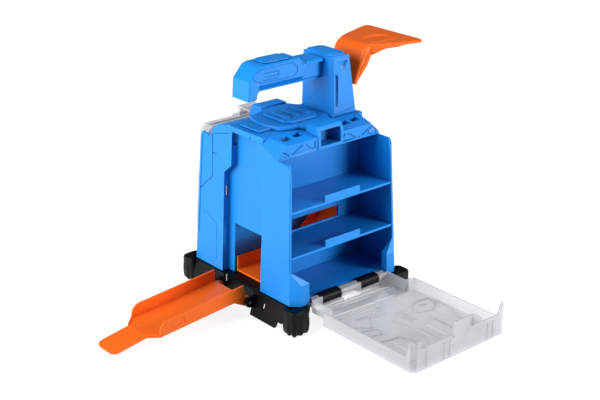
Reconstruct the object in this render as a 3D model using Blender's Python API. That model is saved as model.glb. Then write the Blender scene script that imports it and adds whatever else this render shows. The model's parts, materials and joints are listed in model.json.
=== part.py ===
# Toy garage with a carry handle: two bays with clear doors, a drop shaft, an entry chute and an exit ramp.
# X runs from the exit ramp (-X) to the entry chute (+X), -Y is the open front bay, Z is up from the floor.
# The sizes below are about the middle of the case. build() moves the case to its place at its end.
import math

import bmesh
import bpy
from mathutils import Matrix, Vector

MM = 0.001

# Fit between pieces
GAP = 0.3 * MM
TURN_GAP = 0.4 * MM
BEYOND = 20 * MM

# Case
CASE_HALF_X = 58.7 * MM
CASE_HALF_Y = 61.8 * MM
LEAN_CAGE = 0.2 * MM
LEAN_HALF = CASE_HALF_Y + LEAN_CAGE
LEAN_X = 5.9 * MM
LEAN_Y = 5.4 * MM
PANEL = 2 * MM
CASE_Z = 22 * MM
BAY_PITCH = 37.7 * MM
SHELF = 2 * MM
LOWER_SHELF_UP = 40 * MM
LOWER_SHELF_Z = CASE_Z + LOWER_SHELF_UP
UPPER_SHELF_Z = LOWER_SHELF_Z + BAY_PITCH
ROOF_Z = UPPER_SHELF_Z + BAY_PITCH
LIP_HALF = 19 * MM
LIP_UP = 5.5 * MM
LIP = 1.6 * MM
SHAFT_HALF_Y = 18 * MM
WINDOW_LEFT = 18.7 * MM
WINDOW_RIGHT = 27.7 * MM
PEEK_UP = 10 * MM
INNER_X = CASE_HALF_X - PANEL
FLOOR_TOP_Z = CASE_Z + GAP + SHELF

# Base, feet and corner blocks
BASE_TOP_Z = CASE_Z - GAP
BASE_LOW_Z = 2 * MM
BASE_FLARE = 6.5 * MM
BASE_OVERHANG = 1.5 * MM
BASE_SET_IN = 2.6 * MM
BASE_HALF_Y = CASE_HALF_Y - BASE_SET_IN
BASE_SKIN = 2.2 * MM
BASE_ARCH_Z = 13 * MM
BASE_ARCH_SLOPE = 6 * MM
WINDOW_END = 25.8 * MM
WINDOW_Y = WINDOW_END - CASE_HALF_Y
WINDOW_Z = 10 * MM
WINDOW_LONG = 3.5 * MM
WINDOW_UP = 5.5 * MM
FOOT_LONG_X = 16.7 * MM
FOOT_INNER_X = CASE_HALF_X - FOOT_LONG_X
FOOT_OUT_X = 6 * MM
FOOT_OUT_Y = 13 * MM
FOOT_NOTCH_Z = 7.5 * MM
FOOT_NOTCH_LONG = 11.8 * MM
FOOT_NOTCH_Y = CASE_HALF_Y - FOOT_NOTCH_LONG
TOE_GROOVE_HALF = 1.6 * MM
TOE_GROOVE_DEEP = 5 * MM
TOE_GROOVE_Z = 7 * MM
TOE_GROOVE_TIP = 3 * MM
BLOCK_LONG = 15.7 * MM
BLOCK_INNER_X = CASE_HALF_X - BLOCK_LONG
BLOCK_OUT_Y = 6.5 * MM
BLOCK_CUT = 7 * MM
BLOCK_BACK_Z = 50 * MM
BLOCK_FRONT_Z = 40 * MM

# Ramp channel and doorway in the left panel
CHANNEL_DEEP = 7 * MM
CHANNEL_LOW_HALF = 25 * MM
CHANNEL_TOP_HALF = 16 * MM
CHANNEL_JOG_DROP = 27.4 * MM
CHANNEL_JOG_Z = ROOF_Z - CHANNEL_JOG_DROP
CHANNEL_JOG = 8 * MM
CHANNEL_UP = 9.1 * MM
CHANNEL_TOP_Z = ROOF_Z + CHANNEL_UP
CHANNEL_FLOOR_X = CASE_HALF_X - CHANNEL_DEEP
CHANNEL_BACK_X = CHANNEL_FLOOR_X - PANEL
DOORWAY_HALF = 17.5 * MM
DOORWAY_UP = 44 * MM
DOORWAY_TOP_Z = CASE_Z + DOORWAY_UP
CLIP_RISE = 22 * MM
CLIP_UP = 10 * MM
CLIP_LONG = 10 * MM
CLIP_DEEP = 2.5 * MM

# Roof
ROOF_UP = 14.1 * MM
ROOF_TOP_Z = ROOF_Z + ROOF_UP
FASCIA_SET_IN = 16.9 * MM
FASCIA_Y = CASE_HALF_Y - FASCIA_SET_IN
FASCIA_UP = 10.8 * MM
FASCIA_TOP_Z = ROOF_Z + FASCIA_UP
REAR_FASCIA_UP = 5 * MM
REAR_FACET_LONG = 9.9 * MM
REAR_FACET_Y = FASCIA_Y - REAR_FACET_LONG
ROOF_FLAT_Y = 20 * MM
ROOF_SKIN = 2 * MM
ROOF_END = 11 * MM
ROOF_END_UP = 1.8 * MM
ROOF_END_STEP = 2.5 * MM
ROOF_END_RISE = 7 * MM
ROOF_LIP = 0.7 * MM
SOCKET_HALF = 10.5 * MM
SOCKET_WALL = 3 * MM
SOCKET_UP = 1.5 * MM
SOCKET_TOP_Z = ROOF_TOP_Z + SOCKET_UP
SOCKET_OUT = 0.8 * MM
SOCKET_DEEP = 14 * MM
SOCKET_BROW = 2 * MM
SOCKET_SLOPE = 4 * MM
SOCKET_BACK_Y = FASCIA_Y - SOCKET_DEEP - SOCKET_WALL

# Tower and cap
TOWER_SET_IN = 37.7 * MM
TOWER_X = CASE_HALF_X - TOWER_SET_IN
TOWER_Z = ROOF_TOP_Z + GAP
TOWER_LOW_LONG = 28.5 * MM
TOWER_TOP_LONG = 21 * MM
TOWER_LOW_HALF = 18.8 * MM
TOWER_TOP_HALF = 17.2 * MM
TOWER_UP = 50 * MM
TOWER_TOP_Z = ROOF_TOP_Z + TOWER_UP
TOWER_WALL = 2 * MM
MOUTH_DROP = 27.5 * MM
MOUTH_Z = TOWER_TOP_Z - MOUTH_DROP
CAP_UP = 2.2 * MM
CAP_EDGE = 4 * MM
CAP_START = 1.5 * MM
CAP_LONG = 15 * MM
CAP_CORNER = 5 * MM

# Deck, its step and the ribbed plate
DECK_Z = ROOF_TOP_Z + GAP
DECK_SET_IN = 21.7 * MM
DECK_LEFT_X = DECK_SET_IN - CASE_HALF_X
DECK_UP = 3 * MM
DECK_END_HALF = 7 * MM
DECK_SHOULDER = 4 * MM
DECK_SHOULDER_HALF = 19 * MM
DECK_SIDE_HALF = 23.5 * MM
DECK_RIGHT_HALF = 15 * MM
STEP_UP = 1.6 * MM
STEP_LONG = 11.5 * MM
STEP_HALF = 12 * MM
PLATE_UP = 1.8 * MM
PLATE_LEFT = 7.5 * MM
PLATE_RIGHT = 6.5 * MM
PLATE_HALF = 18 * MM
PLATE_CORNER = 5 * MM
RIB_UP = 1.3 * MM
RIB_PITCH = 10.5 * MM
RIB_REACH = 37.5 * MM
RIB_X = TOWER_X - RIB_REACH
RIB_HALF = 8 * MM
RIB_R = 2.2 * MM

# Handle
HANDLE_HALF = 11 * MM
HANDLE_UP = 3.5 * MM
HANDLE_TOP_Z = TOWER_TOP_Z + HANDLE_UP
HANDLE_DEEP = 21.5 * MM
HANDLE_LOW_Z = HANDLE_TOP_Z - HANDLE_DEEP
HANDLE_NECK_DROP = 4.5 * MM
HANDLE_NECK_Z = HANDLE_TOP_Z - HANDLE_NECK_DROP
HANDLE_NECK_LONG = 22 * MM
HANDLE_STEP_LONG = 5 * MM
HANDLE_GRIP_LONG = 37 * MM
HANDLE_NOSE = 5 * MM
HANDLE_NOSE_DROP = 1.5 * MM
HANDLE_SET_IN = 1.2 * MM
HANDLE_END_X = HANDLE_SET_IN - CASE_HALF_X
HANDLE_SKIN = 2 * MM
HOOK_DROP = 5.5 * MM
HOOK_Z = HANDLE_LOW_Z - HOOK_DROP
HOOK_LONG = 7 * MM
HOOK_SLOPE_UP = 15 * MM
HOOK_SLOPE_Z = HOOK_Z + HOOK_SLOPE_UP
PAD_UP = 1.2 * MM
PAD_LEFT = 4 * MM
PAD_LONG = 27 * MM
PAD_HALF = 8 * MM
PAD_CORNER = 3 * MM

# Entry chute
CHUTE_UP = 4.3 * MM
CHUTE_Z = TOWER_TOP_Z + CHUTE_UP
CHUTE_REACH = 90 * MM
CHUTE_END_X = TOWER_X + CHUTE_REACH
CHUTE_BEND_REACH = 55 * MM
CHUTE_BEND_X = TOWER_X + CHUTE_BEND_REACH
CHUTE_NECK_REACH = 45 * MM
CHUTE_NECK_X = TOWER_X + CHUTE_NECK_REACH
CHUTE_NECK_HALF = 18.5 * MM
CHUTE_END_HALF = 36 * MM
CHUTE_CORNER = 2 * MM
CHEEK_REACH = 36 * MM
CHEEK_X = TOWER_X + CHEEK_REACH
CHUTE_SKIN = 2 * MM
CHUTE_RADIUS = 14 * MM
CHEEK_DROP = 9 * MM
CHEEK_SLOPE = 3 * MM
CHEEK_FOOT = 4 * MM

# Inner slide
SLIDE_HALF = 17.2 * MM
SLIDE_SKIN = 1.8 * MM
SLIDE_WALL = 1.4 * MM
SLIDE_UP = 90 * MM
SLIDE_TOP_Z = CASE_Z + SLIDE_UP
SLIDE_RADIUS = 62 * MM
SLIDE_WALL_UP = 12 * MM

# Doors and their hinges
HINGE_OUT = 4.2 * MM
HINGE_Y = CASE_HALF_Y + HINGE_OUT
HINGE_Z = CASE_Z
DOOR_SKIN = 1.6 * MM
DOOR_FACE = 7.2 * MM
DOOR_SET_IN = 8.2 * MM
DOOR_HALF = CASE_HALF_X - DOOR_SET_IN
FRONT_DOOR_SET_IN = 7.7 * MM
FRONT_DOOR_TOP_HALF = CASE_HALF_X - FRONT_DOOR_SET_IN
REAR_DOOR_SET_IN = 12.7 * MM
REAR_DOOR_TOP_HALF = CASE_HALF_X - REAR_DOOR_SET_IN
DOOR_LOW_HALF = FOOT_INNER_X
DOOR_LOW = 4 * MM
DOOR_SHOULDER = 25 * MM
DOOR_SHOULDER_SLOPE = 2.2 * MM
FRONT_DOOR_OVER = 9.6 * MM
FRONT_DOOR_TOP = ROOF_Z - HINGE_Z + FRONT_DOOR_OVER
REAR_DOOR_OVER = 1.1 * MM
REAR_DOOR_TOP = ROOF_Z - HINGE_Z + REAR_DOOR_OVER
TAB_OVER = 10.6 * MM
TAB_TOP = ROOF_Z - HINGE_Z + TAB_OVER
DOOR_CORNER = 4 * MM
DOOR_BACK = 17.4 * MM
DOOR_MID_BACK = 11 * MM
TAB_HALF = 9 * MM
TAB_BACK = 22 * MM
BARREL_R = 3.6 * MM
PIN_R = 1.4 * MM
KNUCKLE_R = 4 * MM
KNUCKLE_DEEP = 7 * MM
KNUCKLE_IN = 10 * MM
KNUCKLE_OUT = 32 * MM
HINGE_END = 8 * MM
HINGE_HALF = KNUCKLE_OUT + HINGE_END
DOOR_OPEN = math.radians(90)
DOOR_LEAN = math.atan2(LEAN_Y, ROOF_TOP_Z - CASE_Z)

# Exit ramp
RAMP_OUT = 9.3 * MM
RAMP_AXIS_X = -CASE_HALF_X - RAMP_OUT
RAMP_AXIS_Z = 14 * MM
RAMP_RISE = 3.5 * MM
RAMP_SKIN = 1.8 * MM
RAMP_HALF = 20.5 * MM
RAMP_WALL_UP = 11.8 * MM
RAMP_START = 2.5 * MM
RAMP_LONG = 83.5 * MM
RAMP_SHOULDER = 9 * MM
RAMP_WALL_SLOPE = 16 * MM
RAMP_LUG_LONG = 14 * MM
RAMP_LUG = 4 * MM
RAIL_INNER = 5 * MM
RAIL = 2 * MM
RAIL_START = 12 * MM
RAIL_DEEP = 1.4 * MM
TONGUE_HALF = 10 * MM
TONGUE_LONG = 38.5 * MM
TONGUE_ROOT = 6 * MM
TONGUE_FLARE = 1 * MM
TONGUE_TIP_LONG = 7 * MM
TONGUE_TIP_CUT = 5 * MM
TONGUE_DROP = math.radians(4.5)
RAMP_TILT = math.radians(5)
RAMP_LUG_R = 4.2 * MM
EAR = 3 * MM

# Place of the case in the frame, so that the origin is under the middle of the whole outline
FRAME_X = 40.6 * MM
FRAME_Y = 58.6 * MM

# Screws under the base
SCREW_SET_IN_X = 20.7 * MM
SCREW_X = CASE_HALF_X - SCREW_SET_IN_X
SCREW_SET_IN_Y = 31.8 * MM
SCREW_Y = CASE_HALF_Y - SCREW_SET_IN_Y
SCREW_R = 2.6 * MM
SCREW_HEAD = 2 * MM

BLUE = (0.02, 0.22, 0.78)
DARK = (0.012, 0.012, 0.013)
ORANGE = (0.95, 0.15, 0.01)
CLEAR = (0.8, 0.82, 0.84)
STEEL = (0.6, 0.6, 0.6)


def start():
    """Clears the scene and makes the collections for the parts and for the cutters."""
    for obj in list(bpy.data.objects):
        bpy.data.objects.remove(obj)
    made = []
    for name in ("toy_garage", "cutters"):
        collection = bpy.data.collections.new(name)
        bpy.context.scene.collection.children.link(collection)
        made.append(collection)
    return made


PARTS, CUTTERS = start()


def material(name, colour, rough, metal=0.0):
    """A Principled material."""
    made = bpy.data.materials.new(name)
    made.use_nodes = True
    shader = made.node_tree.nodes["Principled BSDF"]
    shader.inputs["Base Color"].default_value = (*colour, 1)
    shader.inputs["Roughness"].default_value = rough
    shader.inputs["Metallic"].default_value = metal
    return made


def as_object(name, mesh):
    """A new object in the parts' collection."""
    obj = bpy.data.objects.new(name, mesh)
    PARTS.objects.link(obj)
    return obj


def finish(obj, colour, rough=0.4, metal=0.0):
    """Gives a part its own material."""
    obj.data.materials.clear()
    obj.data.materials.append(material(obj.name, colour, rough, metal))
    return obj


def box(name, low, high):
    """A box between two corners."""
    mesh = bpy.data.meshes.new(name)
    grid = bmesh.new()
    bmesh.ops.create_cube(grid, size=1)
    size = Vector(high) - Vector(low)
    middle = (Vector(high) + Vector(low)) / 2
    bmesh.ops.transform(grid, matrix=Matrix.LocRotScale(middle, None, size), verts=grid.verts)
    grid.to_mesh(mesh)
    grid.free()
    return as_object(name, mesh)


def frustum(name, low_box, high_box, low_z, high_z):
    """A block whose lower and upper rectangles (x0, x1, y0, y1) differ."""
    obj = box(name, (0, 0, low_z), (1, 1, high_z))
    for vertex in obj.data.vertices:
        x0, x1, y0, y1 = low_box if vertex.co.z < (low_z + high_z) / 2 else high_box
        vertex.co.x = x1 if vertex.co.x > 0.5 else x0
        vertex.co.y = y1 if vertex.co.y > 0.5 else y0
    return obj


TURNS = {
    "X": Matrix(((0, 0, 1), (1, 0, 0), (0, 1, 0))),
    "Y": Matrix(((1, 0, 0), (0, 0, -1), (0, 1, 0))),
    "Z": Matrix.Identity(3),
}


def prism(name, loops, axis, low, high):
    """A flat outline, with further loops as holes, extruded along an axis between two places."""
    curve = bpy.data.curves.new(name, "CURVE")
    curve.dimensions = "2D"
    curve.fill_mode = "BOTH"
    curve.extrude = (high - low) / 2
    for loop in loops:
        spline = curve.splines.new("POLY")
        spline.points.add(len(loop) - 1)
        for point, (u, v) in zip(spline.points, loop):
            point.co = (u, v, 0, 1)
        spline.use_cyclic_u = True
    guide = bpy.data.objects.new(name, curve)
    PARTS.objects.link(guide)
    bpy.context.view_layer.update()
    mesh = bpy.data.meshes.new_from_object(guide.evaluated_get(bpy.context.evaluated_depsgraph_get()))
    bpy.data.objects.remove(guide)
    place = TURNS[axis].to_4x4()
    place.translation = Vector([(low + high) / 2 if letter == axis else 0 for letter in "XYZ"])
    mesh.transform(place)
    grid = bmesh.new()
    grid.from_mesh(mesh)
    bmesh.ops.remove_doubles(grid, verts=grid.verts, dist=1e-6)
    bmesh.ops.recalc_face_normals(grid, faces=grid.faces)
    grid.to_mesh(mesh)
    grid.free()
    return as_object(name, mesh)


def rod(name, radius, low, high, axis, middle, segments=32):
    """A cylinder along X or Y, between two places, at a middle point of the other two coordinates."""
    mesh = bpy.data.meshes.new(name)
    grid = bmesh.new()
    bmesh.ops.create_cone(
        grid, cap_ends=True, segments=segments, radius1=radius, radius2=radius, depth=high - low
    )
    place = TURNS[axis].to_4x4()
    along = (low + high) / 2
    place.translation = {"X": Vector((along, *middle)), "Y": Vector((middle[0], along, middle[1])),
                         "Z": Vector((*middle, along))}[axis]
    bmesh.ops.transform(grid, matrix=place, verts=grid.verts)
    grid.to_mesh(mesh)
    grid.free()
    return as_object(name, mesh)


def combine(obj, tool, operation):
    """Cuts, joins or keeps the common part. The tool moves with the part, among the cutters."""
    modifier = obj.modifiers.new(tool.name, "BOOLEAN")
    modifier.operation = operation
    modifier.solver = "EXACT"
    modifier.object = tool
    tool.parent = obj
    PARTS.objects.unlink(tool)
    CUTTERS.objects.link(tool)
    tool.hide_render = True
    tool.display_type = "WIRE"
    return obj


def cut(obj, tool):
    return combine(obj, tool, "DIFFERENCE")


def join(obj, tool):
    return combine(obj, tool, "UNION")


def keep(obj, tool):
    return combine(obj, tool, "INTERSECT")


def lean_cage():
    """A lattice over the case: still in the middle, and with its outer top points drawn in."""
    data = bpy.data.lattices.new("lean_cage")
    data.points_u = 5
    data.points_v = 5
    data.points_w = 2
    data.interpolation_type_u = "KEY_LINEAR"
    data.interpolation_type_v = "KEY_LINEAR"
    data.interpolation_type_w = "KEY_LINEAR"
    cage = bpy.data.objects.new("lean_cage", data)
    CUTTERS.objects.link(cage)
    cage.hide_render = True
    reach = max(point.co.x for point in data.points)
    rise = max(point.co.z for point in data.points)
    cage.scale = (LEAN_HALF / reach, LEAN_HALF / reach, (ROOF_TOP_Z - CASE_Z) / 2 / rise)
    cage.location.z = (ROOF_TOP_Z + CASE_Z) / 2
    for point in data.points:
        if point.co.z < 0:
            continue
        if abs(point.co.x) > 0.9 * reach:
            point.co_deform.x -= math.copysign(LEAN_X / cage.scale.x, point.co.x)
        if abs(point.co.y) > 0.9 * reach:
            point.co_deform.y -= math.copysign(LEAN_Y / cage.scale.y, point.co.y)
    return cage


CAGE = lean_cage()


def lean(obj):
    """Draws a part of the case in toward its top, with the rest of the case."""
    modifier = obj.modifiers.new("lean", "LATTICE")
    modifier.object = CAGE
    return obj


def mirror_points(half):
    """A closed outline from its +U half, listed from low V to high V."""
    return list(half) + [(-u, v) for u, v in reversed(half)]


def arc(centre, radius, start_angle, end_angle, steps):
    """Points on an arc, angles in degrees."""
    return [
        (centre[0] + radius * math.cos(math.radians(start_angle + (end_angle - start_angle) * i / steps)),
         centre[1] + radius * math.sin(math.radians(start_angle + (end_angle - start_angle) * i / steps)))
        for i in range(steps + 1)
    ]


def thick_path(path, thickness):
    """An outline that follows a path on its left side at a steady thickness."""
    count = len(path)
    side = []
    for i in range(count):
        before = Vector(path[max(i - 1, 0)])
        after = Vector(path[min(i + 1, count - 1)])
        along = (after - before).normalized()
        side.append((path[i][0] - along.y * thickness, path[i][1] + along.x * thickness))
    return list(path) + side[::-1]


def channel_outline(extra):
    """The ramp channel seen from the side: wide below, narrow above, grown by extra."""
    half = [
        (CHANNEL_LOW_HALF + extra, CASE_Z - BEYOND),
        (CHANNEL_LOW_HALF + extra, CHANNEL_JOG_Z + extra),
        (CHANNEL_TOP_HALF + extra, CHANNEL_JOG_Z + CHANNEL_JOG + extra),
        (CHANNEL_TOP_HALF + extra, CHANNEL_TOP_Z + extra),
    ]
    return mirror_points(half)


def panel_outline():
    """A side panel seen from the side. Its front top edge follows the foot of the roof's sloping end."""
    low = [(CASE_HALF_Y, CASE_Z), (CASE_HALF_Y, ROOF_Z - 13 * MM), (CASE_HALF_Y - 1.5 * MM, ROOF_Z),
           (FASCIA_Y + GAP, ROOF_Z)]
    rear = low + [
        (FASCIA_Y - 7 * MM, ROOF_Z + 2.5 * MM),
        (ROOF_FLAT_Y - 1 * MM, ROOF_Z + 7 * MM),
        (ROOF_FLAT_Y - 2 * MM, ROOF_TOP_Z - GAP),
    ]
    step = ROOF_FLAT_Y + ROOF_END_STEP
    front = low + [
        (step, roof_end_z(CASE_HALF_X, step) - ROOF_LIP),
        (ROOF_FLAT_Y - 1 * MM, roof_end_z(CASE_HALF_X, step)),
        (ROOF_FLAT_Y - 2 * MM, ROOF_TOP_Z - GAP),
    ]
    return rear + [(-u, v) for u, v in reversed(front)]


def roof_end_z(x, y):
    """The height of the roof's sloping end, at these distances from the middle."""
    edge = ROOF_Z + ROOF_END_UP
    slope = (FASCIA_TOP_Z - edge) / ROOF_END
    rise = ROOF_END_RISE / (FASCIA_Y - ROOF_FLAT_Y - ROOF_END_STEP)
    return edge + slope * (CASE_HALF_X - x) + rise * (FASCIA_Y - y)


def roof_end(name, side, drop, near):
    """All that lies above the roof's sloping end at the front, once the slope is lowered by a drop."""
    top = ROOF_TOP_Z + BEYOND
    far = FASCIA_Y + BEYOND
    wide = CASE_HALF_X + BEYOND
    slope = roof_end_z(0, 0) - roof_end_z(1 * MM, 0)
    corners = []
    for y in (near, far):
        inner = CASE_HALF_X - (top - roof_end_z(CASE_HALF_X, y) + drop) / slope * MM
        corners += [(side * inner, -y, top), (side * wide, -y, roof_end_z(wide, y) - drop), (side * wide, -y, top)]
    mesh = bpy.data.meshes.new(name)
    mesh.from_pydata(corners, [], [(0, 1, 2), (5, 4, 3), (0, 3, 4, 1), (1, 4, 5, 2), (2, 5, 3, 0)])
    grid = bmesh.new()
    grid.from_mesh(mesh)
    bmesh.ops.recalc_face_normals(grid, faces=grid.faces)
    grid.to_mesh(mesh)
    grid.free()
    return as_object(name, mesh)


def corner_block(name, side, end):
    """The block at a panel's lower corner, with a cut outer corner and a sloping top."""
    outer = CASE_HALF_X
    plan = [
        (side * outer, end * (CASE_HALF_Y - 2 * MM)),
        (side * outer, end * CASE_HALF_Y),
        (side * (outer - BLOCK_CUT), end * (CASE_HALF_Y + BLOCK_OUT_Y)),
        (side * BLOCK_INNER_X, end * (CASE_HALF_Y + BLOCK_OUT_Y)),
        (side * BLOCK_INNER_X, end * (CASE_HALF_Y + GAP)),
        (side * (INNER_X + 0.5 * MM), end * (CASE_HALF_Y + GAP)),
        (side * (INNER_X + 0.5 * MM), end * (CASE_HALF_Y - 2 * MM)),
    ]
    block = prism(name, [plan], "Z", CASE_Z, BLOCK_BACK_Z + 4 * MM)
    slope = (BLOCK_BACK_Z - BLOCK_FRONT_Z) / BLOCK_OUT_Y
    near = CASE_HALF_Y - 6 * MM
    far = CASE_HALF_Y + BEYOND
    above = [
        (end * near, BLOCK_BACK_Z + slope * 6 * MM),
        (end * far, BLOCK_BACK_Z - slope * BEYOND),
        (end * far, BLOCK_BACK_Z + BEYOND),
        (end * near, BLOCK_BACK_Z + BEYOND),
    ]
    cut(block, prism(name + "_slope", [above], "X", -2 * CASE_HALF_X, 2 * CASE_HALF_X))
    slope = (BLOCK_BACK_Z - BLOCK_FRONT_Z) / (INNER_X - BLOCK_INNER_X)
    inward = [
        (side * (BLOCK_INNER_X - BEYOND), BLOCK_FRONT_Z - slope * BEYOND),
        (side * (INNER_X + BEYOND), BLOCK_BACK_Z + slope * BEYOND),
        (side * (BLOCK_INNER_X - BEYOND), BLOCK_BACK_Z + slope * BEYOND),
    ]
    return cut(block, prism(name + "_inward", [inward], "Y", -2 * CASE_HALF_Y, 2 * CASE_HALF_Y))


def side_panel(name, side):
    """A side panel with its two corner blocks, and on the left the ramp channel and the doorway."""
    places = sorted((side * CASE_HALF_X, side * INNER_X))
    panel = prism(name, [panel_outline()], "X", *places)
    for end in (-1, 1):
        join(panel, corner_block(f"{name}_block_{end + 1}", side, end))
    return panel


def left_panel():
    panel = side_panel("left_panel", -1)
    back = prism("channel_body", [channel_outline(PANEL)], "X", -CASE_HALF_X + 0.5 * MM, -CHANNEL_BACK_X)
    below = box("channel_below", (-CASE_HALF_X - BEYOND, -CASE_HALF_Y, -BEYOND),
                (-CHANNEL_BACK_X + BEYOND, CASE_HALF_Y, CASE_Z))
    join(panel, cut(back, below))
    cut(panel, prism("channel_space", [channel_outline(0)], "X", -CASE_HALF_X - BEYOND, -CHANNEL_FLOOR_X))
    cut(panel, box("doorway", (-CASE_HALF_X - BEYOND, -DOORWAY_HALF, -BEYOND),
                   (-CHANNEL_BACK_X + BEYOND, DOORWAY_HALF, DOORWAY_TOP_Z)))
    clip_low = DOORWAY_TOP_Z + CLIP_RISE
    clip = CLIP_LONG / 2
    cut(panel, box("clip_slot", (-CASE_HALF_X + CLIP_DEEP, CHANNEL_LOW_HALF - clip, clip_low),
                   (-CASE_HALF_X + 2 * CLIP_DEEP, CHANNEL_LOW_HALF + clip, clip_low + CLIP_UP)))
    return finish(lean(panel), BLUE)


def base_tray():
    """The base: a hollow flared tray, open below, arched at both ends, with ears for the ramp pin."""
    top = CASE_HALF_X + BASE_OVERHANG
    low = top + BASE_FLARE
    tray = frustum("base_tray", (-low, low, -BASE_HALF_Y, BASE_HALF_Y),
                   (-top, top, -BASE_HALF_Y, BASE_HALF_Y), BASE_LOW_Z, BASE_TOP_Z)
    inner_low = low - BASE_SKIN
    inner_top = top - BASE_SKIN
    inner_y = BASE_HALF_Y - BASE_SKIN
    hollow_low = (-inner_low, inner_low, -inner_y, inner_y)
    hollow_top = (-inner_top, inner_top, -inner_y, inner_y)
    cut(tray, frustum("tray_hollow", hollow_low, hollow_top, BASE_LOW_Z - 1 * MM, BASE_TOP_Z - BASE_SKIN))
    arch = FOOT_INNER_X - 2 * MM
    arch_view = mirror_points([(arch, -BEYOND), (arch - BASE_ARCH_SLOPE, BASE_ARCH_Z)])
    cut(tray, prism("tray_arches", [arch_view], "Y", -2 * CASE_HALF_Y, 2 * CASE_HALF_Y))
    corner = [(FOOT_NOTCH_Y, -BEYOND), (FOOT_NOTCH_Y + 3 * MM, FOOT_NOTCH_Z),
              (BASE_HALF_Y + BEYOND, FOOT_NOTCH_Z), (BASE_HALF_Y + BEYOND, -BEYOND)]
    for end in (-1, 1):
        cut(tray, prism(f"foot_notch_{end + 1}", [[(end * u, v) for u, v in corner]], "X",
                        -low - BEYOND, low + BEYOND))
    reach = RAMP_HALF + 2 * TURN_GAP
    cut(tray, box("ramp_notch", (-low - BEYOND, -reach, -BEYOND),
                  (-top + 1 * MM, reach, BASE_TOP_Z + BEYOND)))
    threshold = top - 0.6 * MM
    join(tray, box("ramp_threshold", (-threshold, -reach - EAR / 2, BASE_LOW_Z + 1 * MM),
                   (BASE_SKIN - threshold, reach + EAR / 2, BASE_TOP_Z - 1 * MM)))
    slot_x = RAMP_AXIS_X + RAMP_RISE + RAMP_WALL_UP + TURN_GAP
    for side in (-1, 1):
        slot = sorted((side * (RAMP_HALF - RAMP_SKIN - 2 * TURN_GAP), side * reach))
        cut(tray, box(f"ramp_wall_slot_{side + 1}", (-low, slot[0], RAMP_AXIS_Z),
                      (slot_x, slot[1], BASE_TOP_Z + BEYOND)))
        ends = sorted((side * reach, side * (reach + EAR)))
        profile = [(-top + 1 * MM, BASE_LOW_Z + 3 * MM), (-top + 1 * MM, RAMP_AXIS_Z + 5 * MM)]
        profile += arc((RAMP_AXIS_X, RAMP_AXIS_Z), RAMP_LUG_R, 80, 280, 12)
        join(tray, prism(f"ramp_ear_{side + 1}", [profile], "Y", *ends))
    axis = (RAMP_AXIS_X, RAMP_AXIS_Z)
    cut(tray, rod("ramp_pin_bore", PIN_R + GAP, -reach - 2 * EAR, reach + 2 * EAR, "Y", axis))
    window_low = (-low - BEYOND, WINDOW_Y, WINDOW_Z)
    window_high = (-inner_top + WINDOW_LONG, WINDOW_Y + WINDOW_LONG, WINDOW_Z + WINDOW_UP)
    cut(tray, box("slot_window", window_low, window_high))
    for x in (-SCREW_X, SCREW_X):
        for y in (-SCREW_Y, SCREW_Y):
            hole = f"screw_hole_{x:.2f}_{y:.2f}"
            cut(tray, rod(hole, SCREW_R / 2 + GAP, 0, BASE_TOP_Z + BEYOND, "Z", (x, y)))
    return finish(tray, DARK, 0.5)


def foot(name, side, end):
    """A claw foot that reaches out from under a corner block, with grooves between its toes."""
    outer = CASE_HALF_X + BASE_OVERHANG
    near_y = BASE_HALF_Y + GAP
    low = sorted((side * FOOT_INNER_X, side * (outer + FOOT_OUT_X)))
    low += sorted((end * near_y, end * (CASE_HALF_Y + FOOT_OUT_Y)))
    high = sorted((side * FOOT_INNER_X, side * outer))
    high += sorted((end * near_y, end * (CASE_HALF_Y + BLOCK_OUT_Y)))
    claw = frustum(name, low, high, 0, BASE_TOP_Z)
    for number, share in enumerate((0.33, 0.68)):
        x = side * (FOOT_INNER_X + share * (outer + FOOT_OUT_X - FOOT_INNER_X))
        y = end * (CASE_HALF_Y + FOOT_OUT_Y)
        low_x, high_x = x - TOE_GROOVE_HALF, x + TOE_GROOVE_HALF
        groove = [(low_x, -BEYOND), (high_x, -BEYOND), (high_x, TOE_GROOVE_Z),
                  (x, TOE_GROOVE_Z + TOE_GROOVE_TIP), (low_x, TOE_GROOVE_Z)]
        reach = sorted((y - end * TOE_GROOVE_DEEP, y + end * BEYOND))
        cut(claw, prism(f"{name}_groove_{number}", [groove], "Y", *reach))
    return finish(claw, DARK, 0.6)


def knuckle(name, side, end):
    """A fixed hinge knuckle on the base's edge, bored for the pin."""
    places = sorted((side * KNUCKLE_IN, side * KNUCKLE_OUT))
    root = end * (BASE_HALF_Y + GAP)
    profile = [(root, BASE_TOP_Z - KNUCKLE_DEEP), (root, BASE_TOP_Z), (end * (CASE_HALF_Y + GAP), BASE_TOP_Z)]
    start_angle, end_angle = (150, -90) if end > 0 else (30, 270)
    profile += arc((end * HINGE_Y, HINGE_Z), KNUCKLE_R, start_angle, end_angle, 16)
    block = prism(name, [profile], "X", *places)
    axis = (end * HINGE_Y, HINGE_Z)
    cut(block, rod(name + "_bore", PIN_R + GAP, -2 * HINGE_HALF, 2 * HINGE_HALF, "X", axis))
    return finish(block, DARK, 0.35)


def pin(name, end):
    steel = rod(name, PIN_R, -HINGE_HALF + GAP, HINGE_HALF - GAP, "X", (end * HINGE_Y, HINGE_Z))
    return finish(steel, STEEL, 0.3, 1)


def door_outline(top, top_half, inset):
    """A closed door seen from the front, about its hinge axis."""
    low = DOOR_LOW + inset
    return mirror_points([
        (DOOR_LOW_HALF - inset, low),
        (DOOR_LOW_HALF - inset, DOOR_SHOULDER + inset),
        (DOOR_HALF - inset, DOOR_SHOULDER + DOOR_SHOULDER_SLOPE + inset),
        (top_half - inset, top - DOOR_CORNER - inset / 2),
        (top_half - DOOR_CORNER - inset / 2, top - inset),
    ])


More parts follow.
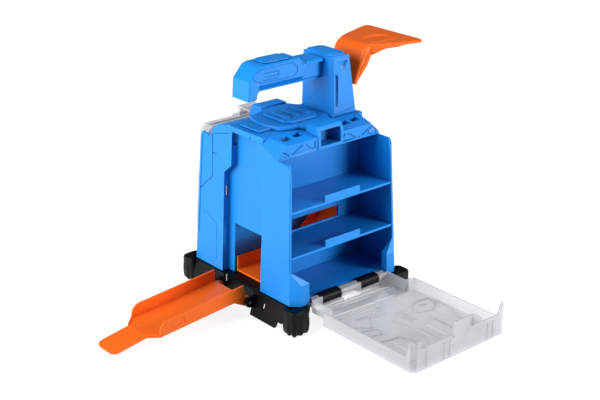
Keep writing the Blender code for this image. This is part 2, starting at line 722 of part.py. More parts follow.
def door(name, end, top, top_half):
    """A clear tray with hinge barrels and a latch tab, modelled shut about its hinge axis, facing -Y."""
    tray = prism(name, [door_outline(top, top_half, 0)], "Y", -DOOR_FACE, DOOR_BACK)
    inner = door_outline(top, top_half, DOOR_SKIN)
    cut(tray, prism(name + "_inside", [inner], "Y", -DOOR_FACE + DOOR_SKIN, DOOR_BACK + BEYOND))
    rim = HINGE_Y - CASE_HALF_Y - GAP
    over = ROOF_Z - HINGE_Z + 0.8 * MM
    behind = [
        (rim, -BEYOND),
        (rim, over),
        (DOOR_BACK + 1 * MM, over + 4 * MM),
        (DOOR_BACK + BEYOND, over + 4 * MM),
        (DOOR_BACK + BEYOND, -BEYOND),
    ]
    cut(tray, prism(name + "_behind", [behind], "X", -2 * DOOR_HALF, 2 * DOOR_HALF))
    middle = top_half - DOOR_CORNER - 4 * MM
    dip = DOOR_MID_BACK if top > over + 4 * MM else -DOOR_FACE + 3 * DOOR_SKIN
    cut(tray, box(name + "_rim_dip", (-middle, dip, top - 2 * DOOR_SKIN),
                  (middle, DOOR_BACK + BEYOND, top + BEYOND)))
    tab = [
        (dip - 2 * MM, top - DOOR_SKIN + 0.1 * MM),
        (dip - 2 * MM, TAB_TOP),
        (TAB_BACK, TAB_TOP),
        (TAB_BACK, TAB_TOP - DOOR_SKIN),
        (dip + DOOR_SKIN, TAB_TOP - DOOR_SKIN),
        (dip - 0.2 * MM, top - DOOR_SKIN + 0.1 * MM),
    ]
    join(tray, prism(name + "_tab", [tab], "X", -TAB_HALF, TAB_HALF))
    for number, (low, high) in enumerate((
            (-HINGE_HALF, -KNUCKLE_OUT - TURN_GAP), (-KNUCKLE_IN + TURN_GAP, KNUCKLE_IN - TURN_GAP),
            (KNUCKLE_OUT + TURN_GAP, HINGE_HALF))):
        profile = arc((0, 0), BARREL_R, 60, -150, 16)
        profile += [(-DOOR_FACE + 0.1 * MM, DOOR_LOW + 1 * MM), (-DOOR_FACE + DOOR_SKIN, DOOR_LOW + 3.4 * MM)]
        join(tray, prism(f"{name}_barrel_{number}", [profile], "X", low, high))
    cut(tray, rod(name + "_bore", PIN_R + GAP, -2 * HINGE_HALF, 2 * HINGE_HALF, "X", (0, 0)))
    tray.location = (0, end * HINGE_Y, HINGE_Z)
    tray.rotation_euler = (DOOR_OPEN, 0, 0) if end < 0 else (-DOOR_LEAN, 0, math.pi)
    return finish(tray, CLEAR, 0.15)


def shelf(name, end, top_z):
    """A shelf with a raised lip, notched round the back of the ramp channel."""
    near, far = SHAFT_HALF_Y + PANEL + GAP, CASE_HALF_Y - GAP
    low, high = sorted((end * near, end * far))
    tray = box(name, (-INNER_X + GAP, low, top_z - SHELF), (INNER_X - GAP, high, top_z))
    edge = sorted((end * far, end * (far - LIP)))
    join(tray, box(name + "_lip", (-LIP_HALF, edge[0], top_z - 1 * MM), (LIP_HALF, edge[1], top_z + LIP_UP)))
    notch = CHANNEL_LOW_HALF + PANEL + GAP
    cut(tray, box(name + "_notch", (-CASE_HALF_X - BEYOND, -notch, top_z - BEYOND),
                  (-CHANNEL_BACK_X + GAP, notch, top_z + BEYOND)))
    return finish(lean(tray), BLUE)


def bay_floor(name, end):
    near, far = SHAFT_HALF_Y + PANEL + GAP, CASE_HALF_Y - GAP
    low, high = sorted((end * near, end * far))
    tray = box(name, (-INNER_X + GAP, low, FLOOR_TOP_Z - SHELF), (INNER_X - GAP, high, FLOOR_TOP_Z))
    notch = CHANNEL_LOW_HALF + PANEL + GAP
    cut(tray, box(name + "_notch", (-CASE_HALF_X - BEYOND, -notch, 0),
                  (-CHANNEL_BACK_X + GAP, notch, ROOF_Z)))
    return finish(lean(tray), BLUE)


def partition(name, end):
    """The wall between a bay and the shaft, with a low window over the lower shelf."""
    left, right = -CHANNEL_BACK_X + GAP, INNER_X - GAP
    bottom, top = CASE_Z + GAP, ROOF_TOP_Z - ROOF_SKIN - GAP
    outline = [(left, bottom), (right, bottom), (right, top), (left, top)]
    window_low = LOWER_SHELF_Z + 1 * MM
    window_left, window_right = WINDOW_LEFT - CASE_HALF_X, CASE_HALF_X - WINDOW_RIGHT
    window_top = window_low + PEEK_UP
    window = [(window_left, window_low), (window_right, window_low),
              (window_right, window_top), (window_left, window_top)]
    places = sorted((end * SHAFT_HALF_Y, end * (SHAFT_HALF_Y + PANEL)))
    return finish(lean(prism(name, [outline, window], "Y", *places)), BLUE)


def roof_profile(inset):
    """The roof seen from the side. The rear fascia is lower, with one more facet over it."""
    low = ROOF_Z + GAP - (BEYOND if inset else 0)
    top = ROOF_TOP_Z - inset
    flat = ROOF_FLAT_Y - inset / 3
    return [
        (-FASCIA_Y + inset, low),
        (-FASCIA_Y + inset, FASCIA_TOP_Z - inset),
        (-flat, top),
        (flat, top),
        (REAR_FACET_Y - inset / 2, FASCIA_TOP_Z - inset),
        (FASCIA_Y - inset, ROOF_Z + REAR_FASCIA_UP - inset / 2),
        (FASCIA_Y - inset, low),
    ]


def roof():
    """The roof: a shell over both bays, with openings for the shaft and the latch sockets."""
    shell = prism("roof", [roof_profile(0)], "X", -CASE_HALF_X, CASE_HALF_X)
    inner_x = CASE_HALF_X - ROOF_SKIN
    inside = prism("roof_inside", [roof_profile(ROOF_SKIN)], "X", -inner_x, inner_x)
    step = ROOF_FLAT_Y + ROOF_END_STEP
    for side in (-1, 1):
        cut(inside, roof_end(f"roof_inside_end_{side + 1}", side, 1.35 * ROOF_SKIN, step - ROOF_SKIN))
    cut(shell, inside)
    socket = SOCKET_HALF + SOCKET_WALL + GAP
    for side in (-1, 1):
        cut(shell, roof_end(f"roof_end_{side + 1}", side, 0, step))
        grown = [(u, v + GAP) for u, v in panel_outline()]
        places = sorted((side * (INNER_X - GAP), side * (CASE_HALF_X + BEYOND)))
        cut(shell, prism(f"roof_seat_{side + 1}", [grown], "X", *places))
        reach = sorted((side * (SOCKET_BACK_Y - GAP), side * (FASCIA_Y + BEYOND)))
        cut(shell, box(f"socket_hole_{side + 1}", (-socket, reach[0], ROOF_Z - BEYOND),
                       (socket, reach[1], SOCKET_TOP_Z + BEYOND)))
    channel = CHANNEL_TOP_HALF + PANEL + GAP
    cut(shell, box("channel_clear", (-CASE_HALF_X - BEYOND, -channel, ROOF_Z - BEYOND),
                   (-CHANNEL_BACK_X + GAP, channel, CHANNEL_TOP_Z + PANEL + GAP)))
    lean(shell)
    cut(shell, box("shaft_hole", (TOWER_X + TOWER_WALL, -TOWER_TOP_HALF + TOWER_WALL, ROOF_Z),
                   (TOWER_X + TOWER_LOW_LONG - TOWER_WALL, TOWER_TOP_HALF - TOWER_WALL, ROOF_TOP_Z + BEYOND)))
    return finish(shell, BLUE)


def latch_socket(name, end):
    """A square socket, open to the outside, for a door's latch tab."""
    outer = SOCKET_HALF + SOCKET_WALL
    front = FASCIA_Y + SOCKET_OUT
    low, high = sorted((end * SOCKET_BACK_Y, end * front))
    surround = box(name, (-outer, low, ROOF_Z + GAP), (outer, high, SOCKET_TOP_Z + SOCKET_WALL))
    hole = sorted((end * (FASCIA_Y - SOCKET_DEEP), end * (FASCIA_Y + BEYOND)))
    cut(surround, box(name + "_hole", (-SOCKET_HALF, hole[0], ROOF_Z + SOCKET_WALL),
                      (SOCKET_HALF, hole[1], SOCKET_TOP_Z)))
    brow = SOCKET_TOP_Z - SOCKET_BROW
    slope = [
        (end * (front - SOCKET_SLOPE), SOCKET_TOP_Z + SOCKET_WALL),
        (end * front, brow),
        (end * (FASCIA_Y + BEYOND), brow),
        (end * (FASCIA_Y + BEYOND), SOCKET_TOP_Z + BEYOND),
        (end * (front - SOCKET_SLOPE), SOCKET_TOP_Z + BEYOND),
    ]
    cut(surround, prism(name + "_slope", [slope], "X", -2 * outer, 2 * outer))
    return finish(lean(surround), BLUE)


def roof_deck():
    """The raised deck between the sockets and the tower, with the step at its left."""
    back = SOCKET_BACK_Y - GAP
    arm = SOCKET_HALF + SOCKET_WALL
    right = TOWER_X - GAP
    half = [
        (DECK_LEFT_X, DECK_END_HALF),
        (DECK_LEFT_X + DECK_SHOULDER, DECK_SHOULDER_HALF),
        (-arm - SOCKET_WALL, DECK_SIDE_HALF),
        (-arm, back),
        (arm, back),
        (right, DECK_RIGHT_HALF),
    ]
    outline = half + [(u, -v) for u, v in reversed(half)]
    deck = prism("roof_deck", [outline], "Z", DECK_Z, DECK_Z + DECK_UP)
    join(deck, box("deck_step", (DECK_LEFT_X - STEP_LONG, -STEP_HALF, DECK_Z),
                   (DECK_LEFT_X + 2 * MM, STEP_HALF, DECK_Z + STEP_UP)))
    return finish(deck, BLUE)


def ribbed_plate():
    """The plate on the deck with three round-ended ribs."""
    low = DECK_Z + DECK_UP + GAP
    left, right = RIB_X - PLATE_LEFT, RIB_X + 2 * RIB_PITCH + PLATE_RIGHT
    half, corner = PLATE_HALF, PLATE_CORNER
    outline = [
        (left + corner, -half), (right - corner, -half), (right, -half + corner), (right, half - corner),
        (right - corner, half), (left + corner, half), (left, half - corner), (left, -half + corner),
    ]
    plate = prism("ribbed_plate", [outline], "Z", low, low + PLATE_UP)
    for number in range(3):
        x = RIB_X + number * RIB_PITCH
        rib = arc((x, RIB_HALF), RIB_R, 0, 180, 8) + arc((x, -RIB_HALF), RIB_R, 180, 360, 8)
        join(plate, prism(f"rib_{number}", [rib], "Z", low + 1 * MM, low + PLATE_UP + RIB_UP))
    return finish(plate, BLUE)


def tower_shell():
    """The hollow tower, open below, with a mouth at its +X side for the chute."""
    low_x, top_x = TOWER_X + TOWER_LOW_LONG, TOWER_X + TOWER_TOP_LONG
    wall = TOWER_WALL
    low_half, top_half = TOWER_LOW_HALF - wall, TOWER_TOP_HALF - wall
    shell = frustum("tower_shell", (TOWER_X, low_x, -TOWER_LOW_HALF, TOWER_LOW_HALF),
                    (TOWER_X, top_x, -TOWER_TOP_HALF, TOWER_TOP_HALF), TOWER_Z, TOWER_TOP_Z)
    cut(shell, frustum("tower_hollow", (TOWER_X + wall, low_x - wall, -low_half, low_half),
                       (TOWER_X + wall, top_x - wall, -top_half, top_half),
                       TOWER_Z - 1 * MM, TOWER_TOP_Z - wall))
    cut(shell, box("tower_mouth", (TOWER_X + TOWER_TOP_LONG - 2 * wall, -TOWER_TOP_HALF + wall, MOUTH_Z),
                   (low_x + BEYOND, TOWER_TOP_HALF - wall, TOWER_TOP_Z + BEYOND)))
    return finish(shell, BLUE)


def tower_cap():
    half, corner = TOWER_TOP_HALF - CAP_EDGE, CAP_CORNER
    x0 = TOWER_X + CAP_START
    x1 = x0 + CAP_LONG
    outline = [(x0 + corner, -half), (x1 - corner, -half), (x1, -half + corner), (x1, half - corner),
               (x1 - corner, half), (x0 + corner, half), (x0, half - corner), (x0, -half + corner)]
    return finish(prism("tower_cap", [outline], "Z", TOWER_TOP_Z + GAP, TOWER_TOP_Z + GAP + CAP_UP), BLUE)


def handle_arm():
    """The carry handle: a hollow arm from the tower, open below, with a hooked free end."""
    root = TOWER_X - GAP
    skin = HANDLE_SKIN
    neck = TOWER_X - HANDLE_NECK_LONG
    step = neck - HANDLE_STEP_LONG
    slope = step - HANDLE_GRIP_LONG
    end = HANDLE_END_X
    outline = [
        (root, HANDLE_LOW_Z),
        (root, HANDLE_NECK_Z),
        (neck, HANDLE_NECK_Z),
        (step, HANDLE_TOP_Z),
        (slope, HANDLE_TOP_Z),
        (slope - HANDLE_NOSE, HANDLE_TOP_Z - HANDLE_NOSE_DROP),
        (end + 1 * MM, HOOK_SLOPE_Z),
        (end, HOOK_Z),
        (end + HOOK_LONG, HOOK_Z),
        (end + HOOK_LONG + 1.5 * MM, HANDLE_LOW_Z),
    ]
    arm = prism("handle_arm", [outline], "Y", -HANDLE_HALF, HANDLE_HALF)
    inside = [
        (root - skin, HANDLE_LOW_Z - BEYOND),
        (root - skin, HANDLE_NECK_Z - skin),
        (neck - 1 * MM, HANDLE_NECK_Z - skin),
        (step - 1 * MM, HANDLE_TOP_Z - skin),
        (slope, HANDLE_TOP_Z - skin),
        (slope - HANDLE_NOSE + 1 * MM, HANDLE_TOP_Z - skin - HANDLE_NOSE_DROP),
        (end + skin + 1 * MM, HOOK_SLOPE_Z - 1 * MM),
        (end + skin, HANDLE_LOW_Z - BEYOND),
    ]
    cut(arm, prism("handle_inside", [inside], "Y", -HANDLE_HALF + skin, HANDLE_HALF - skin))
    return finish(arm, BLUE)


def grip_pad():
    step = TOWER_X - HANDLE_NECK_LONG - HANDLE_STEP_LONG
    left = step - HANDLE_GRIP_LONG + PAD_LEFT
    right = left + PAD_LONG
    half, corner = PAD_HALF, PAD_CORNER
    outline = [
        (left, -half + corner), (left + corner, -half), (right - corner, -half), (right, -half + corner),
        (right, half - corner), (right - corner, half), (left + corner, half), (left, half - corner),
    ]
    low = HANDLE_TOP_Z + GAP
    return finish(prism("grip_pad", [outline], "Z", low, low + PAD_UP), BLUE)


def tower_face_x(z):
    """The outer +X face of the tower at a height."""
    share = (z - TOWER_Z) / (TOWER_TOP_Z - TOWER_Z)
    return TOWER_X + TOWER_LOW_LONG + share * (TOWER_TOP_LONG - TOWER_LOW_LONG)


def entry_chute():
    """The entry chute: a flared platform that bends down into the tower's mouth, with cheeks at its bend."""
    foot_z = MOUTH_Z + 0.5 * MM
    foot_x = tower_face_x(foot_z) + GAP
    under_z = CHUTE_Z - CHUTE_SKIN
    bend = arc((CHUTE_BEND_X, under_z - CHUTE_RADIUS), CHUTE_RADIUS, 90, 148, 10)
    path = [(CHUTE_END_X, under_z), *bend, (foot_x + CHUTE_SKIN, foot_z)]
    chute = prism("entry_chute", [thick_path(path[::-1], CHUTE_SKIN)], "Y", -CHUTE_END_HALF, CHUTE_END_HALF)
    half = [
        (TOWER_X, CHUTE_NECK_HALF),
        (CHUTE_NECK_X, CHUTE_NECK_HALF),
        (CHUTE_END_X - CHUTE_CORNER, CHUTE_END_HALF),
        (CHUTE_END_X, CHUTE_END_HALF - CHUTE_CORNER),
    ]
    plan = half + [(u, -v) for u, v in reversed(half)]
    keep(chute, prism("chute_plan", [plan], "Z", 0, CHUTE_Z + BEYOND))
    brow_z = TOWER_TOP_Z - CHEEK_DROP
    cheek = [
        (foot_x, foot_z),
        (foot_x + 1.5 * MM, foot_z),
        (bend[-1][0] + 0.5 * MM, bend[-1][1]),
        (CHUTE_BEND_X, under_z + 1 * MM),
        (CHEEK_X + 2 * MM, CHUTE_Z),
        (CHEEK_X, CHUTE_Z - 2 * MM),
        (CHEEK_X - CHEEK_SLOPE, brow_z),
        (tower_face_x(brow_z - CHEEK_FOOT) + GAP, brow_z - CHEEK_FOOT),
    ]
    for side in (-1, 1):
        places = sorted((side * (CHUTE_NECK_HALF - 0.1 * MM), side * (CHUTE_NECK_HALF - CHUTE_SKIN)))
        join(chute, prism(f"chute_cheek_{side + 1}", [cheek], "Y", *places))
    return finish(chute, ORANGE)


def inner_slide():
    """The slide inside: a quarter pipe from the shaft's +X side to the doorway, with side walls."""
    low = CASE_Z + GAP
    centre = (INNER_X - GAP - SLIDE_SKIN - SLIDE_RADIUS, low + SLIDE_SKIN + SLIDE_RADIUS)
    start_x = -CHANNEL_BACK_X + GAP
    outer = SLIDE_RADIUS + SLIDE_SKIN
    path = [(start_x, low), *arc(centre, outer, -90, 0, 20), (INNER_X - GAP, SLIDE_TOP_Z)]
    sheet = prism("inner_slide", [thick_path(path, SLIDE_SKIN)], "Y", -SLIDE_HALF, SLIDE_HALF)
    wall = thick_path(path, SLIDE_SKIN + SLIDE_WALL_UP)
    for side in (-1, 1):
        places = sorted((side * SLIDE_HALF, side * (SLIDE_HALF - SLIDE_WALL)))
        join(sheet, prism(f"slide_wall_{side + 1}", [wall], "Y", *places))
    return finish(lean(sheet), ORANGE)


def exit_ramp():
    """The ramp: a trough with two walls, a tongue and hinge lugs, modelled level and then tilted."""
    near, far = RAMP_START, RAMP_START + RAMP_LONG
    top = RAMP_RISE + RAMP_SKIN
    shoulder = -far + RAMP_SHOULDER
    half = [(-near, RAMP_HALF), (shoulder, RAMP_HALF), (-far, TONGUE_HALF)]
    plan = half + [(u, -v) for u, v in reversed(half)]
    ramp = prism("exit_ramp", [plan], "Z", RAMP_RISE, top)
    tip = far + TONGUE_LONG
    drop = TONGUE_LONG * math.sin(TONGUE_DROP)
    side_view = [
        (-far + TONGUE_ROOT, RAMP_RISE),
        (-far + TONGUE_ROOT, top),
        (-far, top),
        (-tip, top - drop),
        (-tip, RAMP_RISE - drop),
        (-far, RAMP_RISE),
    ]
    tongue = prism("tongue", [side_view], "Y", -TONGUE_HALF, TONGUE_HALF)
    half = [(0, TONGUE_HALF + TONGUE_FLARE), (-tip + TONGUE_TIP_LONG, TONGUE_HALF),
            (-tip, TONGUE_HALF - TONGUE_TIP_CUT)]
    shape = half + [(u, -v) for u, v in reversed(half)]
    keep(tongue, prism("tongue_plan", [shape], "Z", -BEYOND, BEYOND))
    join(ramp, tongue)
    wall = [
        (-near, RAMP_RISE),
        (-near, RAMP_RISE + RAMP_WALL_UP),
        (-far + RAMP_WALL_SLOPE, RAMP_RISE + RAMP_WALL_UP),
        (shoulder - 0.5 * MM, RAMP_RISE + 0.7 * RAMP_WALL_UP),
        (shoulder, RAMP_RISE),
    ]
    lug = arc((0, 0), RAMP_LUG_R, 30, -120, 14)
    lug += [(-RAMP_LUG_LONG, RAMP_RISE + 0.2 * MM), (-near, RAMP_RISE + 1 * MM)]
    for side in (-1, 1):
        places = sorted((side * RAMP_HALF, side * (RAMP_HALF - RAMP_SKIN)))
        join(ramp, prism(f"ramp_wall_{side + 1}", [wall], "Y", *places))
        places = sorted((side * (RAMP_HALF - 0.1 * MM), side * (RAMP_HALF - RAMP_LUG)))
        join(ramp, prism(f"ramp_lug_{side + 1}", [lug], "Y", *places))
        rail = sorted((side * RAIL_INNER, side * (RAIL_INNER + RAIL)))
        join(ramp, box(f"ramp_rail_{side + 1}", (shoulder + 1 * MM, rail[0], RAMP_RISE - RAIL_DEEP),
                       (-RAIL_START, rail[1], RAMP_RISE + 1 * MM)))
    cut(ramp, rod("ramp_bore", PIN_R + GAP, -2 * RAMP_HALF, 2 * RAMP_HALF, "Y", (0, 0)))
    ramp.location = (RAMP_AXIS_X, 0, RAMP_AXIS_Z)
    ramp.rotation_euler = (0, -RAMP_TILT, 0)
    return finish(ramp, ORANGE)


def ramp_pin():
    reach = RAMP_HALF + 2 * TURN_GAP + EAR
    return finish(rod("ramp_pin", PIN_R, -reach, reach, "Y", (RAMP_AXIS_X, RAMP_AXIS_Z)), STEEL, 0.3, 1)


def base_screw(name, x, y):
    """A screw whose head bears on the underside of the base's top."""
    head_top = BASE_TOP_Z - BASE_SKIN - GAP
    screw = rod(name, SCREW_R, head_top - SCREW_HEAD, head_top, "Z", (x, y), 24)
    join(screw, rod(name + "_shank", SCREW_R / 2, head_top - 1 * MM, BASE_TOP_Z - GAP, "Z", (x, y), 16))
    return finish(screw, STEEL, 0.3, 1)


def build():
    base_tray()
    left_panel()
    finish(lean(side_panel("right_panel", 1)), BLUE)
    roof()
    roof_deck()
    ribbed_plate()
    tower_shell()
    tower_cap()
    handle_arm()
    grip_pad()
    entry_chute()
    inner_slide()
    exit_ramp()
    ramp_pin()
    door("front_door", -1, FRONT_DOOR_TOP, FRONT_DOOR_TOP_HALF)
    door("rear_door", 1, REAR_DOOR_TOP, REAR_DOOR_TOP_HALF)
    for end, word in ((-1, "front"), (1, "rear")):
        pin(f"{word}_pin", end)
        shelf(f"{word}_upper_shelf", end, UPPER_SHELF_Z)
        shelf(f"{word}_lower_shelf", end, LOWER_SHELF_Z)
        bay_floor(f"{word}_floor", end)
        partition(f"{word}_partition", end)
        latch_socket(f"{word}_socket", end)
        for side, hand in ((-1, "left"), (1, "right")):
            foot(f"{word}_{hand}_foot", side, end)
            knuckle(f"{word}_{hand}_knuckle", side, end)
            base_screw(f"{word}_{hand}_screw", side * SCREW_X, end * SCREW_Y)
    for obj in list(PARTS.objects) + [CAGE]:
        obj.location.x += FRAME_X
        obj.location.y += FRAME_Y


build()
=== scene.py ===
import json
from math import cos, radians, sin

import bmesh
import bpy
import numpy as np
from mathutils import Matrix, Vector


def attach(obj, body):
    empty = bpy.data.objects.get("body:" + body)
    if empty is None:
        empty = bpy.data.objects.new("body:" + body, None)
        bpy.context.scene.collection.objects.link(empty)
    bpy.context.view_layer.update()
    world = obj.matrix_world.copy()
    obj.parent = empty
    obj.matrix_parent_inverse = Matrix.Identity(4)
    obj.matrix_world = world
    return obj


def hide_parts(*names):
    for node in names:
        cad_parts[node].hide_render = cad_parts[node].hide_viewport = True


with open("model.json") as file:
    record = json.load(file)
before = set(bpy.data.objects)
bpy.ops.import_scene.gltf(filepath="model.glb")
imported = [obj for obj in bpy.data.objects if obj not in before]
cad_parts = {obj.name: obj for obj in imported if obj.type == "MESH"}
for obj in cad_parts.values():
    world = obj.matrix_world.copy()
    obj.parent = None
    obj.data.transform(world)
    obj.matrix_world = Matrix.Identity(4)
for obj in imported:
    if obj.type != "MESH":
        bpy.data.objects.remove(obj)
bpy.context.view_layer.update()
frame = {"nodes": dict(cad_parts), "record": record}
nodes = frame["nodes"]
print("frame loaded:", len(nodes), "nodes")

mm = 0.001
caseMiddle = (40.6, 58.6, 0.0)  # the case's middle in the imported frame, mm

# the camera's angles and place come from a fit to the case's corners in the picture
cameraView = {
    "azimuth": -41.0, "elevation": 21.9, "roll": 0.5, "place": (-0.5768, -0.6578, 0.4592),
    "lens": 72.87, "sensor": 36, "near": 0.05, "far": 20,
}

# places and sizes in metres; the floor is lifted to white only where it is looked at
studio = {
    "lamps": {
        "key": {"place": (-1.50, 0.36, 0.62), "size": 1.2, "watts": 34.0},
        "front": {"place": (0.80, -1.35, 0.52), "size": 0.6, "watts": 24.0},
        "top": {"place": (0.10, 0.15, 1.60), "size": 1.0, "watts": 6.2},
    },
    "aim": (0.02, 0.02, 0.08), "world": 0.10, "white": (1, 1, 1, 1),
    "floor": "#a0a0a0", "floorHalf": 3.0, "floorLift": 0.86,
}


def placed(name, data):
    # a new object in the scene's own collection
    made = bpy.data.objects.new(name, data)
    bpy.context.scene.collection.objects.link(made)
    return made


def linear(hexColour):
    # sRGB to linear: c / 12.92 below 0.04045, else ((c + 0.055) / 1.055) ^ 2.4
    parts = [int(hexColour[i:i + 2], 16) / 255 for i in (1, 3, 5)]
    return tuple(c / 12.92 if c < 0.04045 else ((c + 0.055) / 1.055) ** 2.4 for c in parts) + (1.0,)


def addNode(tree, kind, settings=None, links=None):
    # settings: a socket's name or number, or a property's name; links: an input to an output
    node = tree.nodes.new(kind)
    for key, value in (settings or {}).items():
        if isinstance(key, int) or key in node.inputs:
            node.inputs[key].default_value = value
        else:
            setattr(node, key, value)
    for key, socket in (links or {}).items():
        tree.links.new(socket, node.inputs[key])
    return node


def aimCamera(view):
    # back = (sin a cos e, -cos a cos e, sin e), right is level, and both turn about back by the roll
    a, e, r = (radians(view[key]) for key in ("azimuth", "elevation", "roll"))
    back = Vector((sin(a) * cos(e), -cos(a) * cos(e), sin(e)))
    right = Vector((cos(a), sin(a), 0))
    up = back.cross(right)
    turned = right * cos(r) + up * sin(r)
    upright = up * cos(r) - right * sin(r)
    data = bpy.data.cameras.new("photoCamera")
    data.lens = view["lens"]
    data.sensor_width = view["sensor"]
    data.clip_start, data.clip_end = view["near"], view["far"]
    camera = placed("photoCamera", data)
    facingBack = Matrix((turned, upright, back)).transposed().to_4x4()
    camera.matrix_world = Matrix.Translation(view["place"]) @ facingBack
    bpy.context.scene.camera = camera


def lightStudio(settings):
    # three softboxes aimed at the toy, and a dim world that the camera sees as white
    for name, lamp in settings["lamps"].items():
        data = bpy.data.lights.new(name + "Softbox", "AREA")
        data.energy = lamp["watts"]
        data.shape = "SQUARE"
        data.size = lamp["size"]
        softbox = placed(name + "Softbox", data)
        softbox.location = lamp["place"]
        aim = Vector(settings["aim"]) - softbox.location
        softbox.rotation_euler = aim.to_track_quat("-Z", "Y").to_euler()
    world = bpy.data.worlds.new("paleStudio")
    bpy.context.scene.world = world
    world.use_nodes = True
    tree = world.node_tree
    tree.nodes.clear()
    rays = addNode(tree, "ShaderNodeLightPath").outputs
    seen = addNode(tree, "ShaderNodeMath", {"operation": "MAXIMUM"},
                   {0: rays["Is Camera Ray"], 1: rays["Is Transmission Ray"]})
    soft = addNode(tree, "ShaderNodeBackground",
                   {"Color": settings["white"], "Strength": settings["world"]})
    white = addNode(tree, "ShaderNodeBackground", {"Color": settings["white"], "Strength": 1.0})
    mix = addNode(tree, "ShaderNodeMixShader", {},
                  {"Fac": seen.outputs[0], 1: soft.outputs[0], 2: white.outputs[0]})
    addNode(tree, "ShaderNodeOutputWorld", {}, {"Surface": mix.outputs[0]})


def layFloor(settings):
    # a flat sheet under the feet: diffuse paper + lift * max(camera ray, glossy ray)
    half = settings["floorHalf"]
    corners = [(-half, -half, 0), (half, -half, 0), (half, half, 0), (-half, half, 0)]
    mesh = bpy.data.meshes.new("paleFloor")
    mesh.from_pydata(corners, [], [(0, 1, 2, 3)])
    floor = placed("paleFloor", mesh)
    material = bpy.data.materials.new("whitePaperSweep")
    material.use_nodes = True
    tree = material.node_tree
    tree.nodes.clear()
    paper = addNode(tree, "ShaderNodeBsdfDiffuse", {"Color": linear(settings["floor"])})
    rays = addNode(tree, "ShaderNodeLightPath").outputs
    seen = addNode(tree, "ShaderNodeMath", {"operation": "MAXIMUM"},
                   {0: rays["Is Camera Ray"], 1: rays["Is Glossy Ray"]})
    lift = addNode(tree, "ShaderNodeMath", {"operation": "MULTIPLY", 1: settings["floorLift"]},
                   {0: seen.outputs[0]})
    glow = addNode(tree, "ShaderNodeEmission", {"Color": settings["white"]},
                   {"Strength": lift.outputs[0]})
    both = addNode(tree, "ShaderNodeAddShader", {}, {0: paper.outputs[0], 1: glow.outputs[0]})
    addNode(tree, "ShaderNodeOutputMaterial", {}, {"Surface": both.outputs[0]})
    mesh.materials.append(material)


bpy.context.scene.view_settings.view_transform = "Standard"
aimCamera(cameraView)
lightStudio(studio)
layFloor(studio)
print("camera, lights and floor are set")


# what every opaque moulding shares: how far its gloss wanders, its grain's depth, how far
# light sinks into a waxy one, and how many rays seek the painted shade in nooks
mouldedSkin = {"glossSpread": 0.06, "bumpMm": 0.05, "sinkRadius": (1.0, 0.35, 0.15), "sinkMm": 1.5,
               "paintedShadeSamples": 8}


def mouldedPlastic(name, look):
    # colour = (deep to full by a slow noise) * (darkest to 1 by how open the place is), so
    # that it drifts over centimetres and is painted darker in nooks, a painted shade from ambient
    # occlusion; a fine spark-eroded grain breaks up the gloss
    material = bpy.data.materials.new(name)
    material.use_nodes = True
    tree = material.node_tree
    shader = tree.nodes["Principled BSDF"]
    place = addNode(tree, "ShaderNodeTexCoord").outputs["Object"]
    drift = addNode(tree, "ShaderNodeTexNoise",
                    {"Scale": 1 / (look["driftMm"] * mm), "Detail": 2.0}, {"Vector": place})
    # inputs 6 and 7 are the mix's two colours
    colour = addNode(tree, "ShaderNodeMix",
                     {"data_type": "RGBA", 6: linear(look["deep"]), 7: linear(look["colour"])},
                     {"Factor": drift.outputs["Fac"]})
    # painted shade: ambient occlusion darkens the base colour in nooks, grooves and recesses
    paintedNookShade = addNode(tree, "ShaderNodeAmbientOcclusion",
                   {"Distance": look["paintedShadeMm"] * mm, "samples": mouldedSkin["paintedShadeSamples"]})
    shade = addNode(tree, "ShaderNodeMapRange", {"To Min": look["paintedNookShade"], "To Max": 1.0},
                    {"Value": paintedNookShade.outputs["AO"]})
    dimmed = addNode(tree, "ShaderNodeVectorMath", {"operation": "SCALE"},
                     {"Vector": colour.outputs[2], "Scale": shade.outputs[0]})
    tree.links.new(dimmed.outputs["Vector"], shader.inputs["Base Color"])
    grain = addNode(tree, "ShaderNodeTexNoise",
                    {"Scale": 1 / (look["grainMm"] * mm), "Detail": 3.0}, {"Vector": place})
    spread = mouldedSkin["glossSpread"]
    gloss = addNode(tree, "ShaderNodeMapRange",
                    {"To Min": look["roughness"] - spread, "To Max": look["roughness"] + spread},
                    {"Value": grain.outputs["Fac"]})
    tree.links.new(gloss.outputs[0], shader.inputs["Roughness"])
    bump = addNode(tree, "ShaderNodeBump",
                   {"Strength": look["grain"], "Distance": mouldedSkin["bumpMm"] * mm},
                   {"Height": grain.outputs["Fac"]})
    tree.links.new(bump.outputs[0], shader.inputs["Normal"])
    shader.inputs["IOR"].default_value = look["ior"]
    shader.inputs["Specular IOR Level"].default_value = look["specular"]
    shader.inputs["Metallic"].default_value = look["metal"]
    shader.inputs["Subsurface Weight"].default_value = look["sink"]
    shader.inputs["Subsurface Radius"].default_value = mouldedSkin["sinkRadius"]
    shader.inputs["Subsurface Scale"].default_value = mouldedSkin["sinkMm"] * mm
    return material


